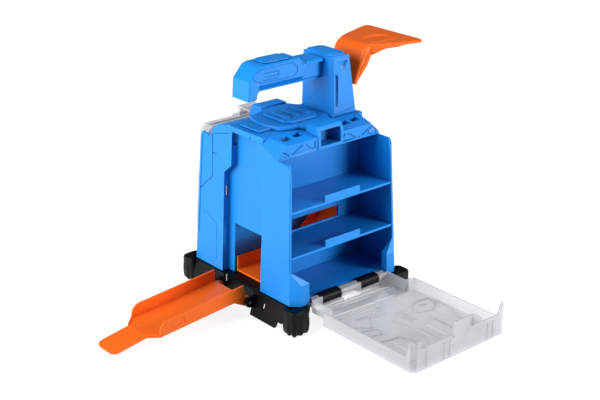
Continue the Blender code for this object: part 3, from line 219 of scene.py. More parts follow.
def clearPlastic(name, look):
    # milky sheet: opacity = (face on to grazing by Fresnel) + haze * noise, so that it is
    # see-through face on and denser towards its edges
    material = bpy.data.materials.new(name)
    material.use_nodes = True
    tree = material.node_tree
    shader = tree.nodes["Principled BSDF"]
    place = addNode(tree, "ShaderNodeTexCoord").outputs["Object"]
    haze = addNode(tree, "ShaderNodeTexNoise",
                   {"Scale": 1 / (look["hazeMm"] * mm), "Detail": 3.0}, {"Vector": place})
    edge = addNode(tree, "ShaderNodeLayerWeight", {"Blend": look["edge"]})
    density = addNode(tree, "ShaderNodeMapRange",
                      {"To Min": look["faceOn"], "To Max": look["grazing"]},
                      {"Value": edge.outputs["Facing"]})
    cloud = addNode(tree, "ShaderNodeMath",
                    {"operation": "MULTIPLY_ADD", "use_clamp": True, 1: look["haze"]},
                    {0: haze.outputs["Fac"], 2: density.outputs[0]})
    tree.links.new(cloud.outputs[0], shader.inputs["Alpha"])
    shader.inputs["Base Color"].default_value = linear(look["colour"])
    smoothest, roughest = look["roughness"]
    rough = addNode(tree, "ShaderNodeMapRange", {"To Min": smoothest, "To Max": roughest},
                    {"Value": haze.outputs["Fac"]})
    tree.links.new(rough.outputs[0], shader.inputs["Roughness"])
    shader.inputs["IOR"].default_value = look["ior"]
    shader.inputs["Coat Weight"].default_value = look["coat"]
    return material


# in each look the last two numbers paint shade into nooks: its reach in mm and how dark it goes
# ABS, injection moulded in a satin tool: broad soft highlights
blueAbs = mouldedPlastic("mouldedAbsSkyBlue", {
    "colour": "#1297f8", "deep": "#0d8ff2", "driftMm": 45, "grainMm": 0.9, "grain": 0.10,
    "roughness": 0.40, "ior": 1.53, "specular": 0.40, "metal": 0.0, "sink": 0.0,
    "paintedShadeMm": 45, "paintedNookShade": 0.42})
# polypropylene, moulded and slightly waxy: light sinks in a little
orangePp = mouldedPlastic("mouldedPolypropyleneOrange", {
    "colour": "#ff731e", "deep": "#fd6816", "driftMm": 50, "grainMm": 1.0, "grain": 0.10,
    "roughness": 0.36, "ior": 1.49, "specular": 0.30, "metal": 0.0, "sink": 0.12,
    "paintedShadeMm": 8, "paintedNookShade": 0.75})
# ABS with carbon black: only its highlights show the form
blackAbs = mouldedPlastic("mouldedAbsBlack", {
    "colour": "#08080a", "deep": "#050506", "driftMm": 30, "grainMm": 0.8, "grain": 0.18,
    "roughness": 0.46, "ior": 1.45, "specular": 0.18, "metal": 0.0, "sink": 0.0,
    "paintedShadeMm": 10, "paintedNookShade": 0.5})
# clear styrene, frosted by its tool: grey where it turns away
clearPs = clearPlastic("mouldedStyreneClear", {
    "colour": "#d4d7db", "hazeMm": 12, "haze": 0.10, "edge": 0.45, "faceOn": 0.25,
    "grazing": 0.74, "roughness": (0.13, 0.26), "ior": 1.57, "coat": 0.3})
# zinc plated steel, cold headed: small grey glints
screwSteel = mouldedPlastic("zincPlatedSteel", {
    "colour": "#b9bcc0", "deep": "#a9acb2", "driftMm": 6, "grainMm": 0.5, "grain": 0.2,
    "roughness": 0.33, "ior": 1.5, "specular": 0.5, "metal": 1.0, "sink": 0.0,
    "paintedShadeMm": 3, "paintedNookShade": 0.6})
print("materials are made")


# the case narrows upwards: a place further out than "from" moves in by its share of "inX" or "inY"
# over the rise; the tower's front and back lean in by "towerIn" over "towerRise"
taper = {"from": 31, "inX": 5.9, "inY": 5.4, "rise": 129.5, "low": 22, "sideX": 58.7,
         "fasciaY": 44.9, "towerY": 18.8, "towerZ": 151.8, "towerIn": 1.6, "towerRise": 49.7}
sideLean = taper["inX"] * (taper["sideX"] - taper["from"]) / taper["from"] / taper["rise"]
fasciaLean = taper["inY"] * (taper["fasciaY"] - taper["from"]) / taper["from"] / taper["rise"]
towerLean = taper["towerIn"] / taper["towerRise"]
sideFoot = taper["sideX"] + taper["low"] * sideLean
fasciaFoot = taper["fasciaY"] + taper["low"] * fasciaLean
towerFoot = taper["towerY"] + taper["towerZ"] * towerLean

# a face is an origin and two steps: a point on it is origin + u * along + v * up, in case mm
faces = {
    "left": ((-sideFoot, 0, 0), (0, 1, 0), (sideLean, 0, 1)),
    "right": ((sideFoot, 0, 0), (0, -1, 0), (-sideLean, 0, 1)),
    "rearWall": ((0, 16.0, 0), (1, 0, 0), (0, 0, 1)),
    "fascia": ((0, -fasciaFoot, 0), (1, 0, 0), (0, fasciaLean, 1)),
    "rearFascia": ((0, fasciaFoot, 0), (-1, 0, 0), (0, -fasciaLean, 1)),
    "slope": ((0, -20, 151.5), (1, 0, 0), (0, 22.7, 3.3)),
    "towerFront": ((0, -towerFoot, 0), (1, 0, 0), (0, towerLean, 1)),
    "towerRear": ((0, towerFoot, 0), (-1, 0, 0), (0, -towerLean, 1)),
    "towerLeft": ((21, 0, 0), (0, -1, 0), (0, 0, 1)),
    "handleFront": ((0, -11, 0), (1, 0, 0), (0, 0, 1)),
    "handleRear": ((0, 11, 0), (-1, 0, 0), (0, 0, 1)),
}

# how detail meets a face, in mm: a groove starts above it, narrows to a share of its width at the
# bottom, and a ridge or a pad is rooted below it
detailShape = {"above": 0.8, "bottomShare": 0.55, "pocketAbove": 1.0, "root": 0.4}


def level(z):
    # the flat face at a height, seen from above
    return (0, 0, z), (1, 0, 0), (0, 1, 0)


def facing(face):
    # the face's outward normal: the cross product of its two steps, at length 1
    normal = np.cross(face[1], face[2])
    return normal / np.linalg.norm(normal)


def onFace(face, points):
    # p = origin + u * along + v * up, for a whole array of (u, v)
    uv = np.asarray(points, float)
    return np.asarray(face[0]) + uv[:, :1] * np.asarray(face[1]) + uv[:, 1:] * np.asarray(face[2])


def meshWork(points, faceList):
    # a bmesh of these points and faces, all facing outwards
    mesh = bpy.data.meshes.new("skin")
    mesh.from_pydata(points.tolist(), [], faceList)
    work = bmesh.new()
    work.from_mesh(mesh)
    bpy.data.meshes.remove(mesh)
    bmesh.ops.recalc_face_normals(work, faces=work.faces)
    return work


def skin(rings):
    # rings (n, m, 3) become quads between neighbours, with one cap at each end
    n, m = rings.shape[:2]
    index = np.arange(n * m).reshape(n, m)
    here, there = index[:-1], index[1:]
    quads = np.stack([here, np.roll(here, -1, 1), np.roll(there, -1, 1), there], -1).reshape(-1, 4)
    caps = [index[0][::-1].tolist(), index[-1].tolist()]
    return meshWork(rings.reshape(-1, 3), quads.tolist() + caps)


def groove(face, path, width, depth, above=detailShape["above"]):
    # a trapezium carried along a path on a face, mitred at each bend:
    # side = (s0 + s1) / (1 + s0 . s1)
    points = onFace(face, path)
    normal = facing(face)
    sides = np.cross(normal, np.diff(points, axis=0))
    sides /= np.linalg.norm(sides, axis=1, keepdims=True)
    before = np.vstack([sides[:1], sides])
    after = np.vstack([sides, sides[-1:]])
    side = (before + after) / (1 + (before * after).sum(1, keepdims=True))
    wide, narrow = width / 2, width / 2 * detailShape["bottomShare"]
    section = [(wide, above), (wide, 0), (narrow, -depth), (-narrow, -depth), (-wide, 0),
               (-wide, above)]
    return skin(np.stack([points + side * out + normal * up for out, up in section], 1))


def ridge(face, path, width, height):
    # a groove upside down, rooted below the face
    return groove(face, path, width, -height, -detailShape["root"])


def insetBy(points, distance):
    # each corner moves along its mitre, so that every side of the outline moves in by the distance
    points = np.asarray(points, float)
    x, y = points.T
    turn = np.sign(np.sum(x * np.roll(y, -1) - np.roll(x, -1) * y))
    steps = np.roll(points, -1, 0) - points
    inward = turn * np.stack([-steps[:, 1], steps[:, 0]], 1)
    inward /= np.linalg.norm(inward, axis=1, keepdims=True)
    last = np.roll(inward, 1, 0)
    return points + distance * (inward + last) / (1 + (inward * last).sum(1, keepdims=True))


def plateau(face, outline, levels):
    # an outline stacked at heights over a face, each (height, inset), closed at both ends
    normal = facing(face)
    return skin(np.stack([onFace(face, insetBy(outline, inset)) + normal * height
                          for height, inset in levels]))


def pocket(face, outline, depth, draft):
    # the outline from above the face down to the depth, narrower there by the draft
    return plateau(face, outline, [(detailShape["pocketAbove"], 0.0), (0.0, 0.0), (-depth, draft)])


def pad(face, outline, height, chamfer):
    # the outline from below the face up to the height, with a chamfer round its top
    return plateau(face, outline,
                   [(-detailShape["root"], 0.0), (height - chamfer, 0.0), (height, chamfer)])


def mirrored(points):
    # the same drawing for a face whose u runs the other way
    return [(-u, v) for u, v in points]


def alongX(profile, low, high):
    # a (y, z) outline carried straight along x
    ring = np.asarray(profile, float)
    return skin(np.stack([np.column_stack([np.full(len(ring), x), ring]) for x in (low, high)]))


def alongY(profile, low, high):
    # an (x, z) outline carried straight along y
    ring = np.asarray(profile, float)
    return skin(np.stack([np.column_stack([ring[:, 0], np.full(len(ring), y), ring[:, 1]])
                          for y in (low, high)]))


def arcPoints(centre, radius, first, last, count):
    # centre + r (cos t, sin t), t in degrees
    t = np.radians(np.linspace(first, last, count))
    return np.column_stack([centre[0] + radius * np.cos(t), centre[1] + radius * np.sin(t)])


def thickSheet(top, thickness):
    # a grid of points and its copy moved inwards along the grid's normals, closed round its border
    normal = np.cross(np.gradient(top, axis=0), np.gradient(top, axis=1))
    normal /= np.linalg.norm(normal, axis=2, keepdims=True)
    low = top - normal * thickness
    n, m = top.shape[:2]
    index = np.arange(n * m).reshape(n, m)
    quads = np.stack([index[:-1, :-1], index[1:, :-1], index[1:, 1:], index[:-1, 1:]], -1)
    quads = quads.reshape(-1, 4)
    border = np.concatenate([index[0, :-1], index[:-1, -1], index[-1, :0:-1], index[:0:-1, 0]])
    after = np.roll(border, -1)
    sides = np.stack([border, after, after + n * m, border + n * m], 1)
    points = np.concatenate([top.reshape(-1, 3), low.reshape(-1, 3)])
    return meshWork(points, np.concatenate([quads, quads[:, ::-1] + n * m, sides]).tolist())


def smooth(value, low, high):
    # 3 t^2 - 2 t^3 between two values
    t = np.clip((value - low) / (high - low), 0, 1)
    return t * t * (3 - 2 * t)


# mouldings: how near two points are one, how flat two faces are one, the rounding of plain edges in
# mm, and the angles in degrees over which an edge is rounded and stays sharp in shading
mouldingShape = {"weldMm": 0.002, "flatAngle": 0.6, "edgeMm": 0.35, "bevelAngle": 28,
                 "sharpAngle": 36, "evenWeight": 80}


def pour(work, whole):
    # one bmesh's skin goes into another, still apart from what is there
    mesh = bpy.data.meshes.new("part")
    work.to_mesh(mesh)
    work.free()
    whole.from_mesh(mesh)
    bpy.data.meshes.remove(mesh)


def joined(works):
    # several skins in one bmesh
    whole = bmesh.new()
    for work in works:
        pour(work, whole)
    return whole


def toFrame(work):
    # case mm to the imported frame's metres
    bmesh.ops.translate(work, verts=work.verts, vec=Vector(caseMiddle))
    bmesh.ops.scale(work, verts=work.verts, vec=(mm, mm, mm))
    return work


def mergedCopy(node):
    # the node's loose triangles welded into one skin, with flat areas joined
    work = bmesh.new()
    work.from_mesh(nodes[node].data)
    bmesh.ops.remove_doubles(work, verts=work.verts, dist=mouldingShape["weldMm"] * mm)
    bmesh.ops.dissolve_limit(work, angle_limit=radians(mouldingShape["flatAngle"]),
                             verts=work.verts, edges=work.edges)
    return work


def objectOf(name, work):
    # the bmesh's skin as an object of the scene
    mesh = bpy.data.meshes.new(name)
    work.to_mesh(mesh)
    work.free()
    return placed(name, mesh)


def applied(piece):
    # what the modifiers make becomes the mesh itself
    bpy.context.view_layer.update()
    seen = piece.evaluated_get(bpy.context.evaluated_depsgraph_get())
    made = bpy.data.meshes.new_from_object(seen)
    piece.modifiers.clear()
    old, piece.data = piece.data, made
    bpy.data.meshes.remove(old)


def carve(target, works, operation="DIFFERENCE"):
    # cuts the skins out of the target, or joins them to it, with an exact Boolean
    cutter = objectOf("cutter", toFrame(joined(works)))
    cut = target.modifiers.new("carve", "BOOLEAN")
    cut.operation = operation
    cut.solver = "EXACT"
    cut.use_self = True
    cut.object = cutter
    applied(target)
    bpy.data.objects.remove(cutter)


def addSkins(piece, works):
    # further closed skins in the same mesh
    work = bmesh.new()
    work.from_mesh(piece.data)
    pour(toFrame(joined(works)), work)
    work.to_mesh(piece.data)
    work.free()


def roundEdges(piece, width, segments=2):
    # each edge that turns by more than the bevel's angle becomes an arc of so many segments
    rounding = piece.modifiers.new("roundedEdges", "BEVEL")
    rounding.width = width * mm
    rounding.segments = segments
    rounding.limit_method = "ANGLE"
    rounding.angle_limit = radians(mouldingShape["bevelAngle"])
    rounding.use_clamp_overlap = True
    applied(piece)


bodies = frame["record"]["behaviour"]["bodies"]
bodyOf = {name: body for body, members in bodies.items() for name in members}


def finishOf(node):
    # the plastic or the steel that a node is made of
    if node in ("front_door", "rear_door"):
        return clearPs
    if node in ("entry_chute", "inner_slide", "exit_ramp"):
        return orangePp
    if "screw" in node or node.endswith("_pin"):
        return screwSteel
    if node == "base_tray" or "foot" in node or "knuckle" in node:
        return blackAbs
    return blueAbs


def finishPiece(piece, node):
    # smooth over the rounded edges and sharp at the cuts, its finish, its body and its node
    mesh = piece.data
    mesh.polygons.foreach_set("use_smooth", np.ones(len(mesh.polygons), bool))
    mesh.set_sharp_from_angle(angle=radians(mouldingShape["sharpAngle"]))
    mesh.materials.clear()
    mesh.materials.append(finishOf(node))
    even = piece.modifiers.new("evenShading", "WEIGHTED_NORMAL")
    even.weight = mouldingShape["evenWeight"]
    even.keep_sharp = True
    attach(piece, bodyOf[node])
    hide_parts(node)


def roundedCopy(node):
    # the node's own shape with its plain edges rounded
    piece = objectOf(node + "_moulding", mergedCopy(node))
    roundEdges(piece, mouldingShape["edgeMm"])
    return piece


def moulding(node, cuts=(), raised=()):
    # the node's own shape, carved and with raised details in the same skin
    piece = roundedCopy(node)
    if cuts:
        carve(piece, cuts)
    if raised:
        addSkins(piece, raised)
    finishPiece(piece, node)


def ownPiece(node, works, bevel=0.0, segments=2):
    # a piece of its own surfaces, in case mm, that stands for a node
    piece = objectOf(node + "_moulding", toFrame(joined(works)))
    if bevel:
        roundEdges(piece, bevel, segments)
    finishPiece(piece, node)


# side panels: engraved lines on the outer faces, rims along their edges, and a dark pointed pocket
# at the channel's top; a line is (width, depth), a rim (width, height), a pocket (depth, draft)
panel = {
    "left": [
        [(41.2, 138.5), (41.0, 101.4), (57.5, 87.0)],
        [(58.5, 71.0), (36.0, 62.8), (34.0, 60.5), (33.4, 30.0)],
        [(40.6, 122.6), (35.6, 122.6)],
        [(-7.0, 148.5), (-7.0, 134.0)],
        [(-7.4, 113.6), (-8.0, 75.2)],
        [(-14.8, 139.5), (-15.4, 96.0)],
    ],
    "right": [
        [(-41.2, 138.5), (-41.0, 101.4), (-57.5, 87.0)],
        [(-58.5, 71.0), (-36.0, 62.8), (-34.0, 60.5), (-33.4, 30.0)],
        [(41.2, 138.5), (41.0, 101.4), (57.5, 87.0)],
        [(58.5, 71.0), (36.0, 62.8), (34.0, 60.5), (33.4, 30.0)],
        [(-22.0, 30.0), (-22.0, 120.0), (-12.0, 132.0), (12.0, 132.0), (22.0, 120.0), (22.0, 30.0)],
    ],
    "rim": [(-59.4, 48.0), (-55.9, 134.2), (-54.2, 136.1), (-46.5, 136.1)],
    "notch": [(-53.3, 134.6), (-48.7, 134.6), (-48.7, 143.4), (-50.6, 146.0), (-53.3, 142.0)],
    "line": (0.9, 0.5), "rimSize": (1.9, 0.7), "notchSize": (1.6, 0.2),
}


def panelPiece(node):
    # the lines are cut into the outer face, and one rim and its mirror image stand on its edges
    side = node.split("_")[0]
    cuts = [groove(faces[side], path, *panel["line"]) for path in panel[side]]
    if side == "left":
        cuts.append(pocket(faces["rearWall"], panel["notch"], *panel["notchSize"]))
    rims = (panel["rim"], mirrored(panel["rim"]))
    moulding(node, cuts, [ridge(faces[side], path, *panel["rimSize"]) for path in rims])


# roof: truss lines on each fascia half and one slot, and two square pockets on each slope half
roof = {
    "truss": [
        [(-50.4, 145.4), (-43.0, 139.4)],
        [(-40.6, 140.0), (-29.4, 146.0)],
        [(-26.0, 145.4), (-18.6, 139.9), (-38.4, 139.4)],
        [(-54.0, 139.4), (-46.2, 139.4)],
        [(15.6, 145.6), (12.2, 140.4)],
        [(12.8, 139.4), (32.0, 139.4)],
        [(18.0, 145.4), (26.4, 140.4)],
        [(34.4, 140.2), (44.0, 145.8)],
        [(46.2, 145.4), (50.6, 141.6), (49.4, 139.4), (43.6, 139.4), (41.4, 141.6), (46.2, 145.4)],
    ],
    "rearLine": [(-16, 139.4), (-45, 139.4)],
    "slot": [(-17.4, 140.4), (-15.8, 140.4), (-15.8, 146.2), (-17.4, 146.2)],
    "pockets": [(-38.0, -12.0), (-25.0, -10.0), (24.6, -11.0), (37.0, -9.6)],
    "pocketHalf": (4.5, 3.4),
    "trussSize": (1.1, 0.9), "rearLineSize": (0.9, 0.5), "slotSize": (1.2, 0.1),
    "pocketSize": (2.2, 0.0),
}


def roofPiece(node):
    # a pocket's place and half size along the slope are in mm, so v is divided by the step's length
    cuts = [groove(faces["fascia"], path, *roof["trussSize"]) for path in roof["truss"]]
    cuts.append(groove(faces["rearFascia"], roof["rearLine"], *roof["rearLineSize"]))
    cuts.append(pocket(faces["fascia"], roof["slot"], *roof["slotSize"]))
    scale = np.linalg.norm(faces["slope"][2])
    du, dv = roof["pocketHalf"][0], roof["pocketHalf"][1] / scale
    for u, v in roof["pockets"]:
        v = v / scale
        outline = [(u - du, v - dv), (u + du, v - dv), (u + du, v + dv), (u - du, v + dv)]
        cuts.append(pocket(faces["slope"], outline, *roof["pocketSize"]))
    moulding(node, cuts)


# tower: bevelled corners, a raised panel front and back with a recess and a long slot, and a bent
# line on its left face; the panel's pad is (height, chamfer), a draft is a recess's narrowing
tower = {
    "panel": [(23.8, 200.2), (41.2, 200.2), (47.6, 156.0), (23.8, 153.6)],
    "recess": [(29.6, 197.2), (38.8, 197.2), (36.6, 189.6), (31.2, 189.6)],
    "slot": [(26.0, 188.6), (28.8, 185.4), (28.8, 160.0), (26.0, 157.2)],
    "bend": [(9.0, 182.4), (9.0, 175.6), (2.2, 170.6), (2.2, 153.0)],
    "panelSize": (1.0, 0.6), "bendSize": (0.8, 0.5), "recessDraft": 0.5, "slotDraft": 0.3,
    "cutFrom": 2.0, "cutDepth": 0.9,
    "corner": 2.0, "over": 1.0, "x": 21.0, "halfAt": ((151.8, 18.8), (201.5, 17.2)),
}


def towerCorner(side):
    # a wedge that takes the sharp corner off: its slanting side passes the bevel's width from it
    x, width, over = tower["x"], tower["corner"], tower["over"]
    (lowZ, lowHalf), (highZ, highHalf) = tower["halfAt"]
    rings = [[(x + width + over, side * (half + over), z), (x - over, side * (half + over), z),
              (x - over, side * (half - width - over), z)]
             for z, half in ((lowZ - over, lowHalf), (highZ + over, highHalf))]
    return skin(np.asarray(rings, float))


def towerPiece(node):
    # the corners go before the edges are rounded, and the panels come after, so no bevel is torn
    piece = objectOf(node + "_moulding", mergedCopy(node))
    carve(piece, [towerCorner(-1), towerCorner(1)])
    roundEdges(piece, mouldingShape["edgeMm"])
    sides = ((faces["towerFront"], list), (faces["towerRear"], mirrored))
    carve(piece, [pad(face, turn(tower["panel"]), *tower["panelSize"]) for face, turn in sides],
          "UNION")
    cuts = [groove(faces["towerLeft"], mirrored(tower["bend"]), *tower["bendSize"])]
    for face, turn in sides:
        for key in ("recess", "slot"):
            levels = [(tower["cutFrom"], 0.0), (tower["panelSize"][0], 0.0),
                      (-tower["cutDepth"], tower[key + "Draft"])]
            cuts.append(plateau(face, turn(tower[key]), levels))
    carve(piece, cuts)
    finishPiece(piece, node)


# cap: a wide eight-sided lid and a raised middle, each with a base height and (height, inset) levels
cap = {
    "lid": [(21.6, -12.2), (25.2, -15.8), (37.6, -15.8), (41.0, -12.2), (41.0, 12.2), (37.6, 15.8),
            (25.2, 15.8), (21.6, 12.2)],
    "lidZ": 201.2, "lidLevels": [(0.0, 0.0), (1.2, 0.0), (2.0, 0.9)],
    "middle": [(23.4, -10.0), (26.0, -12.6), (33.6, -12.6), (35.8, -10.0), (35.8, 10.0),
               (33.6, 12.6), (26.0, 12.6), (23.4, 10.0)],
    "middleZ": 203.0, "middleLevels": [(0.0, 0.0), (0.6, 0.0), (1.0, 0.4)],
}


def capPiece(node):
    # two stacks of the same eight-sided kind, each from its own height
    ownPiece(node, [plateau(level(cap[key + "Z"]), cap[key], cap[key + "Levels"])
                    for key in ("lid", "middle")])


# carry handle: its side view stacked across, slanting undersides with a hollow between them, and on
# each side a long hexagon, a hooked and a straight line, and pockets at its step and its neck
handle = {
    "half": 11.0, "edge": 1.1,
    "outline": [(20.7, 183.5), (20.7, 200.5), (-1.0, 200.5), (-6.0, 205.0), (-43.0, 205.0),
                (-48.0, 203.5), (-56.5, 194.0), (-57.5, 178.0), (-49.0, 178.0), (-47.5, 183.5)],
    "hollow": [(19.0, 170.0), (19.0, 198.0), (-2.0, 198.0), (-7.0, 202.6), (-43.0, 202.6),
               (-46.0, 201.0), (-54.0, 193.0), (-55.0, 170.0)],
    "hollowHalf": 4.6,
    "under": [(1.0, 190.2), (-0.2, 189.6), (-4.4, 184.6), (-4.4, 180.0), (1.0, 180.0)],
    "underX": (-47.2, 20.9),
    "lines": [
        [(-12.0, 191.4), (-8.4, 194.0), (-8.4, 199.0), (-12.6, 202.6), (-44.0, 202.6),
         (-50.4, 200.2), (-53.2, 196.8), (-50.6, 193.6), (-44.0, 191.4), (-12.0, 191.4)],
        [(-43.0, 198.8), (-29.0, 198.8), (-27.4, 197.8), (-27.4, 195.6), (-42.0, 195.6)],
        [(-43.5, 193.2), (-29.0, 193.2)],
    ],
    "step": [(-9.4, 206.4), (-6.4, 202.4), (-2.6, 199.4), (1.6, 199.4), (1.6, 206.4)],
    "neck": [(1.0, 181.0), (-1.5, 186.0), (-1.5, 193.0), (1.0, 198.4), (21.5, 198.4), (21.5, 181.0)],
    "lineSize": (0.8, 0.5), "stepSize": (1.1, 0.0), "neckSize": (3.2, 0.6),
}


def handlePiece(node):
    # the outline at full size between the chamfers and inset by the edge at both sides
    half, edge = handle["half"], handle["edge"]
    outline = np.asarray(handle["outline"], float)
    inner = insetBy(outline, edge)
    stack = ((-half, inner), (edge - half, outline), (half - edge, outline), (half, inner))
    rings = [np.column_stack([points[:, 0], np.full(len(points), y), points[:, 1]])
             for y, points in stack]
    piece = objectOf(node + "_moulding", toFrame(skin(np.stack(rings))))
    cuts = [alongY(handle["hollow"], -handle["hollowHalf"], handle["hollowHalf"])]
    for side in (-1, 1):
        under = [(side * (half + out), z) for out, z in handle["under"]]
        cuts.append(alongX(under, *handle["underX"]))
    for name, turn in (("handleFront", list), ("handleRear", mirrored)):
        face = faces[name]
        cuts += [groove(face, turn(path), *handle["lineSize"]) for path in handle["lines"]]
        cuts += [pocket(face, turn(handle[key]), *handle[key + "Size"]) for key in ("step", "neck")]
    carve(piece, cuts)
    finishPiece(piece, node)


# grip pad on the handle: one line round its end
gripPad = {
    "topZ": 206.5, "lineSize": (0.7, 0.4),
    "line": [(-36, -5.4), (-15, -5.4), (-13.6, -4), (-13.6, 4), (-15, 5.4), (-36, 5.4)],
}


def gripPadPiece(node):
    # the line runs along both sides and across the far end
    moulding(node, [groove(level(gripPad["topZ"]), gripPad["line"], *gripPad["lineSize"])])


# hinge knuckles: half-round black blocks about the pin, flat on top, drawn as a (y, z) side view
knuckle = {
    "behind": [(59.5, 15.6), (59.5, 21.7), (62.3, 21.7), (62.3, 25.5), (63.2, 26.3)],
    "axis": (66.0, 22.0), "radius": 4.6, "arc": (68, -10, 12),
    "below": [(70.4, 17.0), (69.2, 15.6)],
    "x": (10.0, 32.0), "edge": 0.7, "segments": 3,
}


def knucklePiece(node):
    # side view = the back, the nose's arc about the pin and the underside, carried along x
    side = 1 if "right" in node else -1
    end = 1 if node.startswith("rear") else -1
    nose = arcPoints(knuckle["axis"], knuckle["radius"], *knuckle["arc"]).tolist()
    profile = [(end * y, z) for y, z in knuckle["behind"] + nose + knuckle["below"]]
    low, high = sorted(side * x for x in knuckle["x"])
    ownPiece(node, [alongX(profile, low, high)], knuckle["edge"], knuckle["segments"])


# entry chute: a platform that rolls down behind the tower, its long edges rolled over and hanging
# as cheeks, dished on top, with a long smooth ridge on each cheek; "hang" is how far the cheeks
# reach down at each length along the path; the dish and the band are (x, y, half x, half y, height)
chute = {
    "topZ": 205.8, "farX": 110.8, "rollX": 66.5, "rollRadius": 9.5, "rollEnd": 160,
    "foot": (47.2, 175.2), "skin": 1.5, "flatSteps": 44, "rollSteps": 22, "steepSteps": 18,
    "neckHalf": 18.4, "farHalf": 35.8, "growFrom": 64, "growPower": 0.8,
    "cornerRadius": 5.0, "cornerSteps": 8, "edgeRadius": 2.6, "leastRadius": 1.7, "edgeShare": 0.9,
    "bendSteps": 8, "cheekSteps": 4, "acrossSteps": 61,
    "hangAt": [0.0, 16.0, 24.0, 33.8, 38.3, 44.3, 55.9, 64.0, 79.0],
    "hang": [2.0, 2.2, 3.6, 4.2, 5.6, 8.6, 8.8, 8.2, 3.0],
    "reliefFrom": (60, 68),
    "dish": (85.0, -2.5, 15.0, 7.0, -1.3), "dishEdge": (0.7, 1.0),
    "band": (80.0, -15.5, 20.0, 1.6, 0.6), "bandEdge": (0.4, 1.0), "bandCurve": 0.005,
    "cheekRidge": [(52.4, 180.5), (54.8, 187.4), (59.4, 192.0), (60.4, 195.6), (61.6, 197.6),
                   (65.0, 197.2), (62.6, 192.6), (57.6, 185.6)],
    "cheekRidgeSize": (0.9, 0.7),
}


def chutePath():
    # the side view from the far end: a rounded start, a flat top, an arc down and a straight run
    c = chute
    turn = np.radians(np.linspace(0, 90, c["cornerSteps"]))
    near = c["farX"] - c["cornerRadius"] * (1 - np.cos(turn))
    flat = np.concatenate([near, np.linspace(near[-1], c["rollX"], c["flatSteps"])[1:]])
    roll = arcPoints((c["rollX"], c["topZ"] - c["rollRadius"]), c["rollRadius"], 90, c["rollEnd"],
                     c["rollSteps"])
    steep = np.linspace(roll[-1], c["foot"], c["steepSteps"])[1:]
    top = np.column_stack([flat, np.full(len(flat), c["topZ"])])
    return np.concatenate([top, roll[1:], steep])


def chuteRelief(x, y):
    # the dish: -depth inside an ellipse; the band: a low bump along a curve, y = y0 - k (x - x0)^2
    dx, dy, rx, ry, deep = chute["dish"]
    away = np.sqrt(((x - dx) / rx) ** 2 + ((y - dy) / ry) ** 2)
    relief = deep * (1 - smooth(away, *chute["dishEdge"]))
    dx, dy, rx, ry, high = chute["band"]
    bent = y - dy + chute["bandCurve"] * (x - dx) ** 2
    away = np.sqrt(((x - dx) / rx) ** 4 + (bent / ry) ** 2)
    return relief, high * (1 - smooth(away, *chute["bandEdge"]))


def chutePiece(node):
    # each point is the side view's point, moved along the section: flat, a quarter circle, then down
    c = chute
    path = chutePath()
    steps = np.gradient(path, axis=0)
    steps /= np.linalg.norm(steps, axis=1, keepdims=True)
    outward = np.column_stack([steps[:, 1], -steps[:, 0]])
    lengths = np.linalg.norm(np.diff(path, axis=0), axis=1)
    run = np.concatenate([[0], np.cumsum(lengths)])
    hang = np.interp(run, c["hangAt"], c["hang"])[:, None]
    radius = np.clip(c["edgeShare"] * hang, c["leastRadius"], c["edgeRadius"])
    grow = (path[:, :1] - c["growFrom"]) / (c["farX"] - c["growFrom"])
    half = c["neckHalf"] + (c["farHalf"] - c["neckHalf"]) * np.clip(grow, 0, 1) ** c["growPower"]
    inCorner = np.clip(c["cornerRadius"] - run[:, None], 0, None)
    half = half - c["cornerRadius"] + np.sqrt(c["cornerRadius"] ** 2 - inCorner ** 2)
    bend = np.radians(np.linspace(0, 90, c["bendSteps"]))[None, 1:]
    across = np.linspace(-1, 1, c["acrossSteps"])[None, 1:-1]
    cheek = np.linspace(1 / c["cheekSteps"], 1, c["cheekSteps"])[None]
    armY = np.concatenate([half - radius + radius * np.sin(bend),
                           np.repeat(half, c["cheekSteps"], 1)], 1)
    armDown = np.concatenate([radius * (1 - np.cos(bend)), radius + (hang - radius) * cheek], 1)
    y = np.concatenate([-armY[:, ::-1], across * (half - radius), armY], 1)
    flatDown = np.zeros((len(path), across.shape[1]))
    down = np.concatenate([armDown[:, ::-1], flatDown, armDown], 1)
    x = path[:, :1] - outward[:, :1] * down
    z = path[:, 1:] - outward[:, 1:] * down
    onTop = smooth(path[:, :1], *c["reliefFrom"])
    for relief in chuteRelief(x, y):
        z = z + relief * onTop
    works = [thickSheet(np.stack([x, y, z], -1)[::-1], c["skin"])]
    for side in (-1, 1):
        face = ((0, side * c["neckHalf"], 0), (-side, 0, 0), (0, 0, 1))
        outline = [(-side * u, v) for u, v in c["cheekRidge"]]
        works.append(pad(face, outline, *c["cheekRidgeSize"]))
    ownPiece(node, works)


